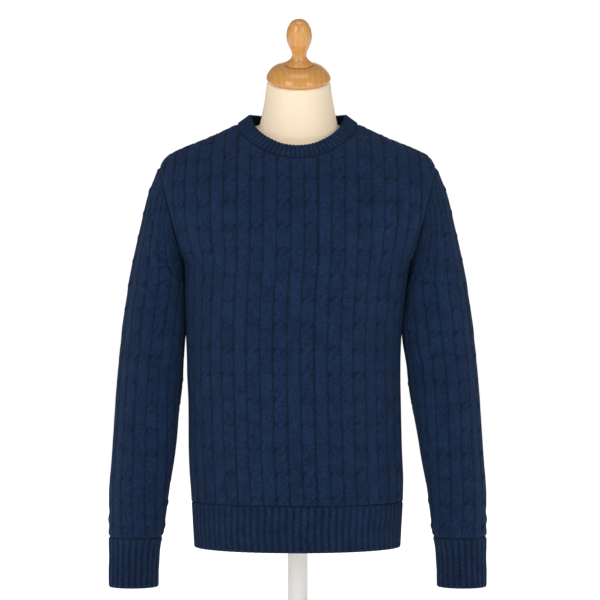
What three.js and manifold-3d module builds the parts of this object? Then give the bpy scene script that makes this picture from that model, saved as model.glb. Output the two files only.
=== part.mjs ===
// A cable knit sweater worn by a limbless dress form on a slim stand, in millimetres with +Z up.
// The front faces -Y, the wearer's left is +X, and the origin is the middle of the base's underside.
import * as THREE from "three";
import { mergeVertices } from "three/addons/utils/BufferGeometryUtils.js";
import Module from "manifold-3d";

const wasm = await Module();
wasm.setup();

// The knit: a repeat is six plain stitches, a purl, six cable stitches and a purl.
const BODY_REPEAT = 42.5;
const SLEEVE_REPEAT = 38;
const CROSS_SPACING = 38.6; // from one cable cross to the next, up the cloth
const CROSS_HEIGHT = 13; // over which the two strands of a cable change sides
const CROSS_LEVEL = 544; // height of one row of crosses on the body
const CABLE_EDGE = 0.25; // where a cable starts across a repeat, from a plain column's middle
const CABLE_STRAND = 0.4; // where its left strand is, across the repeat
const CABLE_RISE = 2.6; // how far the strand that crosses in front stands up
const RIB_RISE = 1.1;
const WALL = 2.4; // cloth without its relief
const SEAM_GAP = 0.3;
const SEAM_FADE = 7; // the relief dies out over this distance before a seam
const UNDERARM_FADE = 28; // and over this one where sleeve and body press together
const PRESSED = { above: 400, fully: 470 }; // heights from which they do
const EDGE = 0.001; // points closer than this are one point
const BODY_REPEATS = 5.6; // from a centre line to past the side seam
const SLEEVE_REPEATS = 5.8; // from a sleeve's outer line to past its seam
const LEAST_ROW = 4; // rows are at least this far apart
const ROW_SAMPLES = 72; // steps in which a row's length is measured
const INNER_STEPS = 8; // faces of the body's plain inside, in a quarter of it
const SLEEVE_STEPS = 10; // and of a sleeve's and a cuff's, in half of one
const CUFF_STEPS = 8;
const INNER_LEVELS = [384, 500, 590, 605, 640, 685, 730, 756, 775, 791, 808, 822]; // its rows

// Outside of the body at each height: half width, and depth in front of and behind the side seams.
const BODY = [
  { z: 150, side: 164, front: 113, back: 110 },
  { z: 224, side: 168, front: 116, back: 112 },
  { z: 272, side: 170, front: 117, back: 110 },
  { z: 384, side: 169, front: 118, back: 106 },
  { z: 480, side: 172, front: 121, back: 108 },
  { z: 560, side: 178, front: 125, back: 116 },
  { z: 594, side: 180.4, front: 126.6, back: 119.8 },
  { z: 605, side: 183, front: 127, back: 121 },
  { z: 612, side: 188.4, front: 127, back: 121.6 },
  { z: 620, side: 195, front: 127, back: 122 },
  { z: 640, side: 212, front: 126, back: 123 },
  { z: 680, side: 240, front: 121, back: 121 },
  { z: 715, side: 243, front: 111, back: 115 },
  { z: 740, side: 234, front: 101, back: 108 },
  { z: 756, side: 221, front: 92, back: 102 },
  { z: 768, side: 213, front: 83, back: 96 },
  { z: 776, side: 204, front: 76, back: 91 },
  { z: 784, side: 189, front: 69, back: 86 },
  { z: 792, side: 170, front: 61, back: 80 },
  { z: 800, side: 150, front: 53, back: 74 },
  { z: 808, side: 131, front: 44, back: 67 },
  { z: 816, side: 115, front: 35, back: 60 },
  { z: 824, side: 99, front: 26, back: 53 },
  { z: 832, side: 85, front: 17, back: 46 },
];
const WELT_TOP = 224;
const HEM = 150;
const BODY_TOP = 832;

// The armhole lies in a leaning plane, from the armpit up to the shoulder tip.
const ARMPIT = { x: 183, z: 605 };
const SHOULDER_TIP = { x: 220.75, z: 756 };
const ARMHOLE_LEAN = (SHOULDER_TIP.x - ARMPIT.x) / (SHOULDER_TIP.z - ARMPIT.z);

// Sleeve rings from the armhole down: the outer and inner point of each, and half its depth.
const SLEEVE = [
  { outX: 221, outZ: 756, inX: 183.3, inZ: 605, deep: 63, y: 0 },
  { outX: 239, outZ: 712, inX: 184.2, inZ: 597, deep: 62, y: 0 },
  { outX: 249, outZ: 668, inX: 184.4, inZ: 585, deep: 61, y: 0 },
  { outX: 258, outZ: 625, inX: 183, inZ: 572, deep: 60, y: 0 },
  { outX: 266, outZ: 585, inX: 181.5, inZ: 556, deep: 59.5, y: -1 },
  { outX: 272, outZ: 545, inX: 179.5, inZ: 538, deep: 59, y: -2 },
  { outX: 279, outZ: 500, inX: 178, inZ: 500, deep: 58.5, y: -3 },
  { outX: 286, outZ: 440, inX: 179.5, inZ: 440, deep: 57, y: -6 },
  { outX: 291, outZ: 384, inX: 185, inZ: 384, deep: 55, y: -9 },
  { outX: 295.5, outZ: 304, inX: 196, inZ: 304, deep: 51, y: -13 },
  { outX: 300, outZ: 224, inX: 210, inZ: 224, deep: 47, y: -16 },
  { outX: 300, outZ: 168.3, inX: 216, inZ: 168.3, deep: 43, y: -17 },
];
const CUFF = [
  { outX: 300, outZ: 168, inX: 216, inZ: 168, deep: 43, y: -17 },
  { outX: 299.5, outZ: 157, inX: 218.5, inZ: 157, deep: 37, y: -17 },
  { outX: 299.5, outZ: 140, inX: 221, inZ: 140, deep: 34.5, y: -17 },
  { outX: 300, outZ: 88, inX: 223, inZ: 88, deep: 34, y: -18 },
];
const CUFF_NARROWS = 20; // below its seam the cuff has drawn in
const SLEEVE_SETTLES = 70; // below the armhole the rings have turned from its outline to ovals
const SETTLING = [19, 38, 58]; // rows between the first crosses, where the rings turn most
const PLAIN_ROWS = 5; // below there the plain inside has one row for this many outside
const SMALL_TURN = 0.01; // angle over which a ring's direction is measured
const SHORT_WAY = 2; // and length over which a sleeve's is
const SLANTED_WALL = 3; // most that a wall is widened where it meets an end at a slant

// Soft folds of a sleeve: place down its outer line, angle round it from that line, slope, length,
// width and depth. They slope less behind than in front.
const FOLDS = [
  { down: 120, round: 2.1, rise: -34, long: 55, wide: 13, deep: 3.2 },
  { down: 168, round: 1.75, rise: -26, long: 48, wide: 11, deep: 2.4 },
  { down: 292, round: 1.2, rise: 16, long: 42, wide: 12, deep: 2.2 },
  { down: 330, round: 2.2, rise: -14, long: 40, wide: 12, deep: 2.4 },
];

const FOLD_RADIUS = 55; // turns an angle round the sleeve into a length
const FOLD_SLOPE_BEHIND = 0.7;

// Neck: the seam seen from above, the band that is sewn to it, and its ribs.
const NECK_HALF_WIDTH = 96;
const NECK_FRONT = 84;
const NECK_BACK = 57;
const BAND_WIDTH = 24;
const BAND_WALL = 2.8;
const BAND_TURN = 0.14; // the band stands up from the slope of the shoulder by this angle
const BAND_RIBS = 72;
const STATIONS_PER_FACE = 4; // of the seam, for each face of the band's plain inside
const FUNNEL = { above: 14, below: 9, y: -20, top: 960, bottom: 735 }; // cuts the neck hole

const WELT_RIBS_IN_QUARTER = 20;
const CUFF_RIBS_IN_HALF = 12;

// Dress form: how far its skin lies inside the cloth at each height, and where it ends.
const FORM_GAP = [
  { z: 172, gap: 13 },
  { z: 384, gap: 15 },
  { z: 480, gap: 13 },
  { z: 560, gap: 8 },
  { z: 620, gap: 4 },
  { z: 680, gap: 1.5 },
  { z: 730, gap: 0.4 },
  { z: 808, gap: 0.4 },
  { z: 816, gap: 1.5 },
  { z: 824, gap: 8 },
  { z: 832, gap: 15 },
];
const FORM_BOTTOM = 172;
const ARM_PLATE_DEPTH = 5; // the form stops this far inside the armhole seams

// Neck of the form, down its leaning axis from the rim under the cap.
const NECK = [
  { down: 0, half: 50, deep: 52 },
  { down: 30, half: 53.5, deep: 54 },
  { down: 58, half: 58.5, deep: 55 },
  { down: 74, half: 61.5, deep: 54 },
  { down: 88, half: 65, deep: 52.5 },
  { down: 100, half: 70, deep: 52 },
  { down: 122, half: 80, deep: 50 },
];
const NECK_LEAN = THREE.MathUtils.degToRad(22);
const RIM = new THREE.Vector3(0, -44, 893);
const NECK_SEGMENTS = 30;

// Turned beech: radius at each height above the rim.
const CAP_PROFILE = [
  { up: 0.3, radius: 50.2 },
  { up: 3, radius: 50.9 },
  { up: 8, radius: 47.9 },
  { up: 12, radius: 44.8 },
  { up: 17, radius: 40 },
  { up: 21.5, radius: 34.7 },
  { up: 25.5, radius: 28.4 },
  { up: 28.4, radius: 22.6 },
];
const CAP_TOP = 28.4;
const CAP_SEGMENTS = 20;
const FINIAL_PROFILE = [
  { up: 28.7, radius: 21.6 },
  { up: 29.8, radius: 22.3 },
  { up: 31.2, radius: 21 },
  { up: 35, radius: 15.2 },
  { up: 41, radius: 11.5 },
  { up: 48.5, radius: 12.9 },
  { up: 57, radius: 16.3 },
  { up: 65.5, radius: 19 },
  { up: 74.5, radius: 20.2 },
  { up: 84, radius: 19.3 },
  { up: 94, radius: 15.4 },
  { up: 100.5, radius: 9.2 },
];
const FINIAL_TOP = 102.6;
const FINIAL_SEGMENTS = 14;

const BASE_RADIUS = 150;
const BASE_HEIGHT = 8;
const BASE_ROUNDING = 2.5;
const BASE_SEGMENTS = 32;
const POLE_RADIUS = 16;
const POLE_SEGMENTS = 18;

const COLORS = { wool: 0x1a2c50, jersey: 0xfae8cb, beech: 0xd69b54, paint: 0xf2f2f0 };

// A table's column as a smooth curve that never overshoots its rows.
function curve(rows, along, column) {
  const x = rows.map((row) => row[along]);
  const y = rows.map((row) => row[column]);
  const slopes = x.slice(1).map((next, i) => (y[i + 1] - y[i]) / (next - x[i]));
  const tangents = y.map((_, i) => {
    const before = slopes[Math.max(i - 1, 0)];
    const after = slopes[Math.min(i, slopes.length - 1)];
    return before * after <= 0 ? 0 : (2 * before * after) / (before + after);
  });
  return (at) => {
    const held = THREE.MathUtils.clamp(at, x[0], x[x.length - 1]);
    const i = Math.max(1, x.findIndex((end) => end >= held)) - 1;
    const span = x[i + 1] - x[i];
    const t = (held - x[i]) / span;
    const start = (1 + 2 * t) * (1 - t) ** 2 * y[i] + t * (1 - t) ** 2 * span * tangents[i];
    return start + t * t * (3 - 2 * t) * y[i + 1] - t * t * (1 - t) * span * tangents[i + 1];
  };
}

const bodySide = curve(BODY, "z", "side");
const bodyFront = curve(BODY, "z", "front");
const bodyBack = curve(BODY, "z", "back");
const formGap = curve(FORM_GAP, "z", "gap");

// Numbers from first to last in equal steps.
function spaced(first, last, steps) {
  return Array.from({ length: steps + 1 }, (_, i) => first + ((last - first) * i) / steps);
}

// Where the armhole plane is at a height.
function armholeAt(z) {
  return ARMPIT.x + ARMHOLE_LEAN * (z - ARMPIT.z);
}

// A point of the body and its outward normal. The angle runs from the centre line to the side,
// and face is -1 on the front and 1 on the back.
function torso(angle, z, face) {
  const depth = face < 0 ? bodyFront : bodyBack;
  const wide = bodySide(z);
  const deep = depth(z);
  const x = wide * Math.sin(angle);
  const y = face * deep * Math.cos(angle);
  const half = 0.5; // millimetre, so that each of the next two is the change over a whole one
  const widening = bodySide(z + half) - bodySide(z - half);
  const deepening = depth(z + half) - depth(z - half);
  const rise = -((x * x * widening) / wide ** 3 + (y * y * deepening) / deep ** 3);
  const normal = new THREE.Vector3(x / wide ** 2, y / deep ** 2, rise).normalize();
  const toArmhole = z > ARMPIT.z ? armholeAt(z) - x : Infinity;
  return { point: new THREE.Vector3(x, y, z), normal, toArmhole };
}

// How far down its outer line each sleeve ring lies.
function measured(rings) {
  let down = 0;
  return rings.map((ring, i) => {
    const last = rings[Math.max(i - 1, 0)];
    down += Math.hypot(ring.outX - last.outX, ring.outZ - last.outZ);
    return { ...ring, down };
  });
}

// A tube's curves down its length.
function tubeOf(rings) {
  const rows = measured(rings);
  const columns = ["outX", "outZ", "inX", "inZ", "deep", "y"];
  const curves = Object.fromEntries(columns.map((name) => [name, curve(rows, "down", name)]));
  return { ...curves, length: rows[rows.length - 1].down };
}

const sleeveTube = tubeOf(SLEEVE);
const cuffTube = tubeOf(CUFF);

// Half depth of the armhole at a height.
function armholeDepth(z, face) {
  const depth = face < 0 ? bodyFront(z) : bodyBack(z);
  return depth * Math.sqrt(Math.max(0, 1 - (armholeAt(z) / bodySide(z)) ** 2));
}

// Depth of the soft folds at a place on a sleeve, in front where face is -1 and behind where it is 1.
function folded(angle, down, face) {
  return FOLDS.reduce((sum, fold) => {
    const slope = fold.rise * (face < 0 ? 1 : FOLD_SLOPE_BEHIND);
    const across = down - fold.down - slope * (angle - fold.round);
    const round = (angle - fold.round) * FOLD_RADIUS;
    return sum + fold.deep * Math.exp(-((across / fold.wide) ** 2) - (round / fold.long) ** 2);
  }, 0);
}

// A point of a sleeve or cuff. The angle runs from its outer line to its inner one.
function tubePoint(tube, angle, down, face) {
  const share = (1 - Math.cos(angle)) / 2;
  const x = THREE.MathUtils.lerp(tube.outX(down), tube.inX(down), share);
  const z = THREE.MathUtils.lerp(tube.outZ(down), tube.inZ(down), share);
  const oval = tube.deep(down) * Math.sin(angle);
  if (tube === cuffTube) return new THREE.Vector3(x, tube.y(down) + face * oval, z);
  const settled = THREE.MathUtils.smoothstep(down, 0, SLEEVE_SETTLES);
  const armhole = armholeDepth(THREE.MathUtils.lerp(SHOULDER_TIP.z, ARMPIT.z, share), face);
  const depth = THREE.MathUtils.lerp(armhole, oval - folded(angle, down, face), settled);
  return new THREE.Vector3(x, tube.y(down) + face * Math.max(0, depth), z);
}

// A point of a sleeve or cuff and its outward normal, which at the two ends lies in the end's plane
// and is longer where the wall meets that plane at a slant.
function tubeSurface(tube, angle, down, face) {
  const least = 2 * SMALL_TURN;
  const turn = THREE.MathUtils.clamp(angle, least, Math.PI - least);
  const next = tubePoint(tube, turn + SMALL_TURN, down, face);
  const round = next.sub(tubePoint(tube, turn - SMALL_TURN, down, face));
  const above = Math.max(down - SHORT_WAY, 0);
  const below = Math.min(down + SHORT_WAY, tube.length);
  const along = tubePoint(tube, turn, below, face).sub(tubePoint(tube, turn, above, face));
  const normal = round.cross(along).multiplyScalar(-face).normalize();
  if (angle < least || angle > Math.PI - least) normal.setY(0).normalize();
  if (down === 0 || down === tube.length) {
    const chord = tubePoint(tube, 0, down, face).sub(tubePoint(tube, Math.PI, down, face));
    const end = chord.cross(new THREE.Vector3(0, 1, 0)).normalize();
    const flat = normal.clone().addScaledVector(end, -normal.dot(end)).normalize();
    normal.copy(flat.divideScalar(Math.max(1 / SLANTED_WALL, normal.dot(flat))));
  }
  return { point: tubePoint(tube, angle, down, face), normal, toArmhole: Infinity };
}

// Points of one row at its columns' distances along the cloth from its centre line, held at the
// seam where the row is shorter. Each knows how far it is from that seam.
function rowPoints(surface, lastAngle, columns) {
  const angles = spaced(0, lastAngle, ROW_SAMPLES);
  const places = angles.map((angle) => surface(angle).point);
  const lengths = [0];
  places.slice(1).forEach((place, i) => lengths.push(lengths[i] + place.distanceTo(places[i])));
  const total = lengths[lengths.length - 1];
  return columns(total).map(({ distance, rise }) => {
    const held = Math.min(distance, total);
    const i = Math.max(1, lengths.findIndex((length) => length >= held - EDGE));
    const share = (held - lengths[i - 1]) / (lengths[i] - lengths[i - 1]);
    const angle = held === total ? lastAngle : THREE.MathUtils.lerp(angles[i - 1], angles[i], share);
    return { ...surface(angle), rise, toSeam: total - held };
  });
}

// The columns of a row of cables, at a length up the cloth: the edges of each cable and between
// them the crest of the strand in front, which moves from left to right at each cross and back
// again before the next. rightward is 1 where the distance grows to the viewer's right, and -1
// where it grows to the left.
function cableColumns(repeat, furthest, up, rightward) {
  const phase = THREE.MathUtils.euclideanModulo(up + CROSS_HEIGHT / 2, CROSS_SPACING);
  const returned = (CROSS_SPACING - phase) / (CROSS_SPACING - CROSS_HEIGHT);
  const crossed = Math.min(phase / CROSS_HEIGHT, returned);
  const toRight = rightward > 0 ? crossed : 1 - crossed;
  const crest = THREE.MathUtils.lerp(CABLE_STRAND, 1 - CABLE_STRAND, toRight);
  const columns = [{ distance: 0, rise: 0 }];
  for (let start = 0; start < furthest; start += repeat)
    columns.push(
      { distance: start + CABLE_EDGE * repeat, rise: 0 },
      { distance: start + crest * repeat, rise: CABLE_RISE },
      { distance: start + (1 - CABLE_EDGE) * repeat, rise: 0 },
    );
  return () => [...columns, { distance: Infinity, rise: 0 }];
}

// Equal columns from the centre line to the seam, with a rib on every other one.
function evenColumns(steps, rise) {
  return (total) => spaced(0, total, steps).map((distance, i) => ({ distance, rise: i % 2 ? rise : 0 }));
}

// Moves a row's points out by the rise of their columns, which dies out at the seams.
function raised(row, fade) {
  return row.map(({ point, normal, rise, toSeam, toArmhole }) => {
    const atSide = THREE.MathUtils.smoothstep(toSeam, 0, fade);
    const height = rise * atSide * THREE.MathUtils.smoothstep(toArmhole, 0, SEAM_FADE);
    return { point: point.clone().addScaledVector(normal, height) };
  });
}

// How far from a side or underarm seam the relief dies out at a height.
function seamFade(z) {
  const pressed = THREE.MathUtils.smoothstep(z, PRESSED.above, PRESSED.fully);
  return THREE.MathUtils.lerp(SEAM_FADE, UNDERARM_FADE, pressed);
}

// Moves a row's points in, as far as the wall is thick or further.
function inset(row, depth) {
  return row.map(({ point, normal }) => ({ point: point.clone().addScaledVector(normal, -depth) }));
}

function mirrored(row) {
  return row.map((place) => ({ ...place, point: place.point.clone().setX(-place.point.x) }));
}

// Joins points and triangles into a solid, with shared points merged and its faces outwards.
function solid(points, triangles) {
  const geometry = new THREE.BufferGeometry();
  const numbers = points.flatMap((point) => [point.x, point.y, point.z]);
  geometry.setAttribute("position", new THREE.Float32BufferAttribute(numbers, 3));
  geometry.setIndex(triangles.flat());
  const merged = mergeVertices(geometry, EDGE);
  const position = merged.attributes.position;
  const at = (i) => new THREE.Vector3().fromBufferAttribute(position, i);
  const faces = [];
  let volume = 0;
  for (let i = 0; i < merged.index.count; i += 3) {
    const [a, b, c] = merged.index.array.slice(i, i + 3);
    if (a === b || b === c || c === a) continue;
    faces.push([a, b, c]);
    volume += at(a).dot(at(b).cross(at(c)));
  }
  const outward = volume > 0 ? faces : faces.map(([a, b, c]) => [a, c, b]);
  const mesh = new wasm.Mesh({
    numProp: 3,
    vertProperties: new Float32Array(position.array),
    triVerts: new Uint32Array(outward.flat()),
  });
  return new wasm.Manifold(mesh);
}

function middle(row) {
  const sum = row.reduce((total, place) => total.add(place.point), new THREE.Vector3());
  return sum.divideScalar(row.length);
}

// The two triangles of a four-sided face from a and b up to c and d, split along the diagonal that
// stands out further, so that a cable's crest is a ridge and a shoulder stays round.
function split(places, a, b, c, d) {
  const [across, over, up] = [b, d, c].map((i) => places[i].point.clone().sub(places[a].point));
  const outward = across.cross(over).dot(up) <= 0;
  return outward ? [[a, b, d], [a, d, c]] : [[a, b, c], [b, d, c]];
}

// A closed solid through rows with the same number of points.
function loft(rows, top = middle(rows[rows.length - 1]), bottom = middle(rows[0])) {
  const count = rows[0].length;
  const places = rows.flat();
  const triangles = [];
  for (let row = 0; row < rows.length - 1; row++)
    for (let i = 0; i < count; i++) {
      const a = row * count + i;
      const b = row * count + ((i + 1) % count);
      triangles.push(...split(places, a, b, a + count, b + count));
    }
  const points = [...places.map((place) => place.point), bottom, top];
  const lastRow = (rows.length - 1) * count;
  for (let i = 0; i < count; i++) {
    const next = (i + 1) % count;
    triangles.push([points.length - 2, next, i], [points.length - 1, lastRow + i, lastRow + next]);
  }
  return solid(points, triangles);
}

// How far along a line of points each one is, as a share of the whole.
function shares(line, places) {
  let sum = 0;
  const lengths = line.map((at, i) => {
    if (i) sum += places[at].point.distanceTo(places[line[i - 1]].point);
    return sum;
  });
  return lengths.map((length) => length / sum);
}

// Triangles that join two lines of points from end to end, however many points each has.
function zipped(first, second, places) {
  const along = shares(first, places);
  const beside = shares(second, places);
  const indexes = [];
  let i = 0;
  let j = 0;
  while (i < first.length - 1 || j < second.length - 1) {
    if (j === second.length - 1 || (i < first.length - 1 && along[i + 1] <= beside[j + 1])) {
      indexes.push([first[i + 1], first[i], second[j]]);
      i += 1;
    } else {
      indexes.push([second[j], second[j + 1], first[i]]);
      j += 1;
    }
  }
  return indexes;
}

// A wall between an outer and an inner face, each given as rows from one end of the wall to the
// other. The rows go all the way round where round is true, and otherwise the wall has two sides.
function wall(outer, inner, round) {
  const reversed = (triangles) => triangles.map(([a, b, c]) => [a, c, b]);
  const count = outer.flat().length;
  const indexed = (rows, start) => rows.map((row, k) => {
    const line = row.map((_, i) => start + k * row.length + i);
    return round ? [...line, line[0]] : line;
  });
  const places = [...outer.flat(), ...inner.flat()];
  const face = (lines) => lines.slice(1).flatMap((line, k) => line.slice(1).flatMap((_, i) => {
    return split(places, lines[k][i], lines[k][i + 1], line[i], line[i + 1]);
  }));
  const out = indexed(outer, 0);
  const within = indexed(inner, count);
  const column = (lines, at) => lines.map((line) => line.at(at));
  const sides = round ? [] : [
    ...reversed(zipped(column(out, 0), column(within, 0), places)),
    ...zipped(column(out, -1), column(within, -1), places),
  ];
  const triangles = [
    ...face(out),
    ...reversed(face(within)),
    ...zipped(out[0], within[0], places),
    ...reversed(zipped(out.at(-1), within.at(-1), places)),
    ...sides,
  ];
  return solid(places.map((place) => place.point), triangles);
}

// A box from its lowest to its highest corner.
function block(low, high) {
  const size = new THREE.Vector3().subVectors(high, low);
  const geometry = new THREE.BoxGeometry(size.x, size.y, size.z);
  geometry.translate(...new THREE.Vector3().addVectors(low, high).multiplyScalar(0.5).toArray());
  return fromGeometry(geometry);
}

function fromGeometry(geometry) {
  const position = geometry.attributes.position;
  const points = Array.from({ length: position.count }, (_, i) => {
    return new THREE.Vector3().fromBufferAttribute(position, i);
  });
  const index = geometry.index ? geometry.index.array : points.map((_, i) => i);
  const triangles = [];
  for (let i = 0; i < index.length; i += 3) triangles.push([index[i], index[i + 1], index[i + 2]]);
  return solid(points, triangles);
}

// A full row of the body from four quarters, each from a centre line to a side. columns gives a
// quarter's columns, from 1 or -1 for the way in which their distance grows.
function bodyRow(z, columns, shape) {
  const quarter = (face, rightward) => {
    return shape(rowPoints((angle) => torso(angle, z, face), Math.PI / 2, columns(rightward)));
  };
  return [
    ...quarter(-1, 1),
    ...quarter(1, -1).reverse().slice(1),
    ...mirrored(quarter(1, 1)).slice(1),
    ...mirrored(quarter(-1, -1)).reverse().slice(1, -1),
  ];
}

// Length up the cloth of the body at each height, measured on the front's centre line from CROSS_LEVEL.
const BODY_LEVELS = (() => {
  const levels = spaced(WELT_TOP, BODY_TOP, BODY_TOP - WELT_TOP);
  let up = WELT_TOP - CROSS_LEVEL;
  return levels.map((z, i) => {
    if (i) up += Math.hypot(1, bodyFront(z) - bodyFront(z - 1));
    return { z, up };
  });
})();
const bodyUp = curve(BODY_LEVELS, "z", "up");
const bodyHeight = curve(BODY_LEVELS, "up", "z");

// Lengths between two ends that fall on the starts and ends of the cable crosses, with the ends
// themselves and any other fixed ones, none closer together than a few millimetres.
function crossLengths(first, last, fixed) {
  const lengths = [first, ...fixed, last];
  const start = Math.ceil(first / CROSS_SPACING) - 1;
  for (let n = start; n * CROSS_SPACING < last + CROSS_HEIGHT; n++)
    [-0.5, 0.5].forEach((half) => {
      const at = n * CROSS_SPACING + half * CROSS_HEIGHT;
      if (at > first && at < last && lengths.every((other) => Math.abs(other - at) > LEAST_ROW)) lengths.push(at);
    });
  return lengths.sort((a, b) => a - b);
}

// The body with its armholes and neck hole, before it is parted into a front and a back.
function bodyShell() {
  const bottom = WELT_TOP + SEAM_GAP;
  const fixed = [ARMPIT.z, SHOULDER_TIP.z].map(bodyUp);
  const outer = crossLengths(bodyUp(bottom), bodyUp(BODY_TOP), fixed).map((up) => {
    const columns = (rightward) => cableColumns(BODY_REPEAT, BODY_REPEATS * BODY_REPEAT, up, rightward);
    const z = bodyHeight(up);
    return bodyRow(z, columns, (row) => raised(row, seamFade(z)));
  });
  return loft(outer).subtract(loft(innerRows(bottom - 1, () => WALL)));
}

// Coarse rows that lie inside the body's outer face by a distance that depends on the height.
function innerRows(bottom, depth) {
  const levels = [bottom, ...INNER_LEVELS, BODY_TOP];
  return levels.map((z) => bodyRow(z, () => evenColumns(INNER_STEPS, 0), (row) => inset(row, depth(z))));
}

// Everything beyond an armhole plane, moved out by a distance.
function beyondArmhole(side, moved) {
  const far = 400;
  const outline = [
    { x: armholeAt(ARMPIT.z) + moved, z: ARMPIT.z },
    { x: far, z: ARMPIT.z },
    { x: far, z: BODY_TOP },
    { x: armholeAt(BODY_TOP) + moved, z: BODY_TOP },
  ];
  const shape = new THREE.Shape(outline.map(({ x, z }) => new THREE.Vector2(side * x, z)));
  const geometry = new THREE.ExtrudeGeometry(shape, { depth: far, bevelEnabled: false });
  geometry.translate(0, 0, -far / 2);
  geometry.rotateX(Math.PI / 2);
  return fromGeometry(geometry);
}

// The neck seam at an angle from the centre front: its point, the normal and the way up the band.
function neckSeam(angle) {
  const x = NECK_HALF_WIDTH * Math.sin(angle);
  const forward = Math.cos(angle);
  const y = -forward * (forward > 0 ? NECK_FRONT : NECK_BACK);
  const depth = y < 0 ? bodyFront : bodyBack;
  let low = SHOULDER_TIP.z;
  let high = BODY_TOP;
  while (high - low > EDGE) {
    const z = (low + high) / 2;
    if ((x / bodySide(z)) ** 2 + (y / depth(z)) ** 2 > 1) high = z;
    else low = z;
  }
  const onSide = Math.asin(THREE.MathUtils.clamp(Math.abs(x) / bodySide(low), 0, 1));
  const found = torso(onSide, low, y < 0 ? -1 : 1);
  found.point.x *= Math.sign(x) || 1;
  found.normal.x *= Math.sign(x) || 1;
  return found;
}

const NECK_STATIONS = spaced(0, 2 * Math.PI, 2 * BAND_RIBS).slice(0, -1).map((angle, i, all) => {
  const { point, normal } = neckSeam(angle);
  const before = neckSeam(all[(i + all.length - 1) % all.length]).point;
  const after = neckSeam(all[(i + 1) % all.length]).point;
  const upward = new THREE.Vector3().subVectors(after, before).cross(normal).normalize();
  if (upward.z < 0) upward.negate();
  return { point, normal, upward };
});

// A funnel through the neck seam, square to the cloth all round.
function neckHole() {
  const ring = (out) => NECK_STATIONS.map(({ point, normal }) => {
    return { point: point.clone().addScaledVector(normal, out) };
  });
  const top = new THREE.Vector3(0, FUNNEL.y, FUNNEL.top);
  return loft([ring(-FUNNEL.below), ring(FUNNEL.above)], top, top.clone().setZ(FUNNEL.bottom));
}

// The neckband: ribs on its outside, and a plain inside with fewer points.
function neckband() {
  const line = (stations, along, away) => stations.map(({ point, normal, upward }, i) => {
    const turn = upward.clone().cross(normal);
    const climb = upward.clone().applyAxisAngle(turn, BAND_TURN).multiplyScalar(along);
    const rib = away === 0 && i % 2 ? RIB_RISE : 0;
    const out = normal.clone().applyAxisAngle(turn, BAND_TURN).multiplyScalar(away + rib);
    return { point: point.clone().add(climb).add(out) };
  });
  const plain = NECK_STATIONS.filter((_, i) => i % STATIONS_PER_FACE === 0);
  const outer = [line(NECK_STATIONS, SEAM_GAP, 0), line(NECK_STATIONS, BAND_WIDTH, 0)];
  const inner = [line(plain, SEAM_GAP * 2, -BAND_WALL), line(plain, BAND_WIDTH, -BAND_WALL)];
  return wall(outer, inner, true);
}

// One half of the ribbed welt below the body: in front where face is -1, behind where it is 1.
function welt(face) {
  const row = (z, steps, shape) => {
    const columns = evenColumns(steps, RIB_RISE);
    const half = shape(rowPoints((angle) => torso(angle, z, face), Math.PI / 2, columns));
    const across = [...mirrored(half).reverse(), ...half.slice(1)];
    return across.map(({ point }) => {
      const parted = face * Math.max(SEAM_GAP / 2, Math.abs(point.y));
      return { point: point.clone().setY(parted) };
    });
  };
  const outer = [HEM, WELT_TOP].map((z) => row(z, 2 * WELT_RIBS_IN_QUARTER, (half) => raised(half, 1)));
  const inner = [HEM, WELT_TOP].map((z) => row(z, WELT_RIBS_IN_QUARTER, (half) => inset(half, WALL)));
  return wall(outer, inner, false);
}

// Parts a shell at the side seams into the piece in front and the piece behind.
function partedAtSides(shell) {
  const low = new THREE.Vector3(-400, -SEAM_GAP / 2, 0);
  const high = new THREE.Vector3(400, SEAM_GAP / 2, 1000);
  const pieces = shell.subtract(block(low, high)).decompose();
  const middleOf = (piece) => piece.boundingBox().min[1] + piece.boundingBox().max[1];
  return pieces.sort((a, b) => middleOf(a) - middleOf(b));
}

// A full row of a tube from its front half and its back half.
function tubeRow(tube, down, columns, shape) {
  const half = (face) => {
    return shape(rowPoints((angle) => tubeSurface(tube, angle, down, face), Math.PI, columns(face)));
  };
  return [...half(-1), ...half(1).reverse().slice(1, -1)];
}

// Plain rows a wall's thickness inside a tube.
function tubeInside(tube, levels, steps) {
  const columns = () => evenColumns(steps, 0);
  return levels.map((down) => tubeRow(tube, down, columns, (row) => inset(row, WALL)));
}

// The sleeve on the wearer's left. lean is 1 where its cables lean as the body's do, and -1 for the
// sleeve that is mirrored afterwards.
function sleeve(lean) {
  const length = sleeveTube.length;
  const furthest = SLEEVE_REPEATS * SLEEVE_REPEAT;
  const lengths = crossLengths(-length, 0, SETTLING.map((down) => -down)).reverse();
  const outer = lengths.map((up) => {
    const columns = (face) => cableColumns(SLEEVE_REPEAT, furthest, up, lean * face);
    const toArmhole = Math.min(-up, length + up);
    return tubeRow(sleeveTube, -up, columns, (row) => {
      return raised(row.map((place) => ({ ...place, toArmhole })), seamFade(sleeveTube.inZ(-up)));
    });
  });
  const plain = lengths.filter((up, i) => {
    return -up < SLEEVE_SETTLES + CROSS_HEIGHT || i % PLAIN_ROWS === 0 || i === lengths.length - 1;
  });
  return wall(outer, tubeInside(sleeveTube, plain.map((up) => -up), SLEEVE_STEPS), true);
}

function cuff() {
  const ribs = () => evenColumns(2 * CUFF_RIBS_IN_HALF, RIB_RISE);
  const levels = [0, CUFF_NARROWS, cuffTube.length];
  const outer = levels.map((down) => tubeRow(cuffTube, down, ribs, (row) => raised(row, 1)));
  return wall(outer, tubeInside(cuffTube, levels, CUFF_STEPS), true);
}

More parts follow.
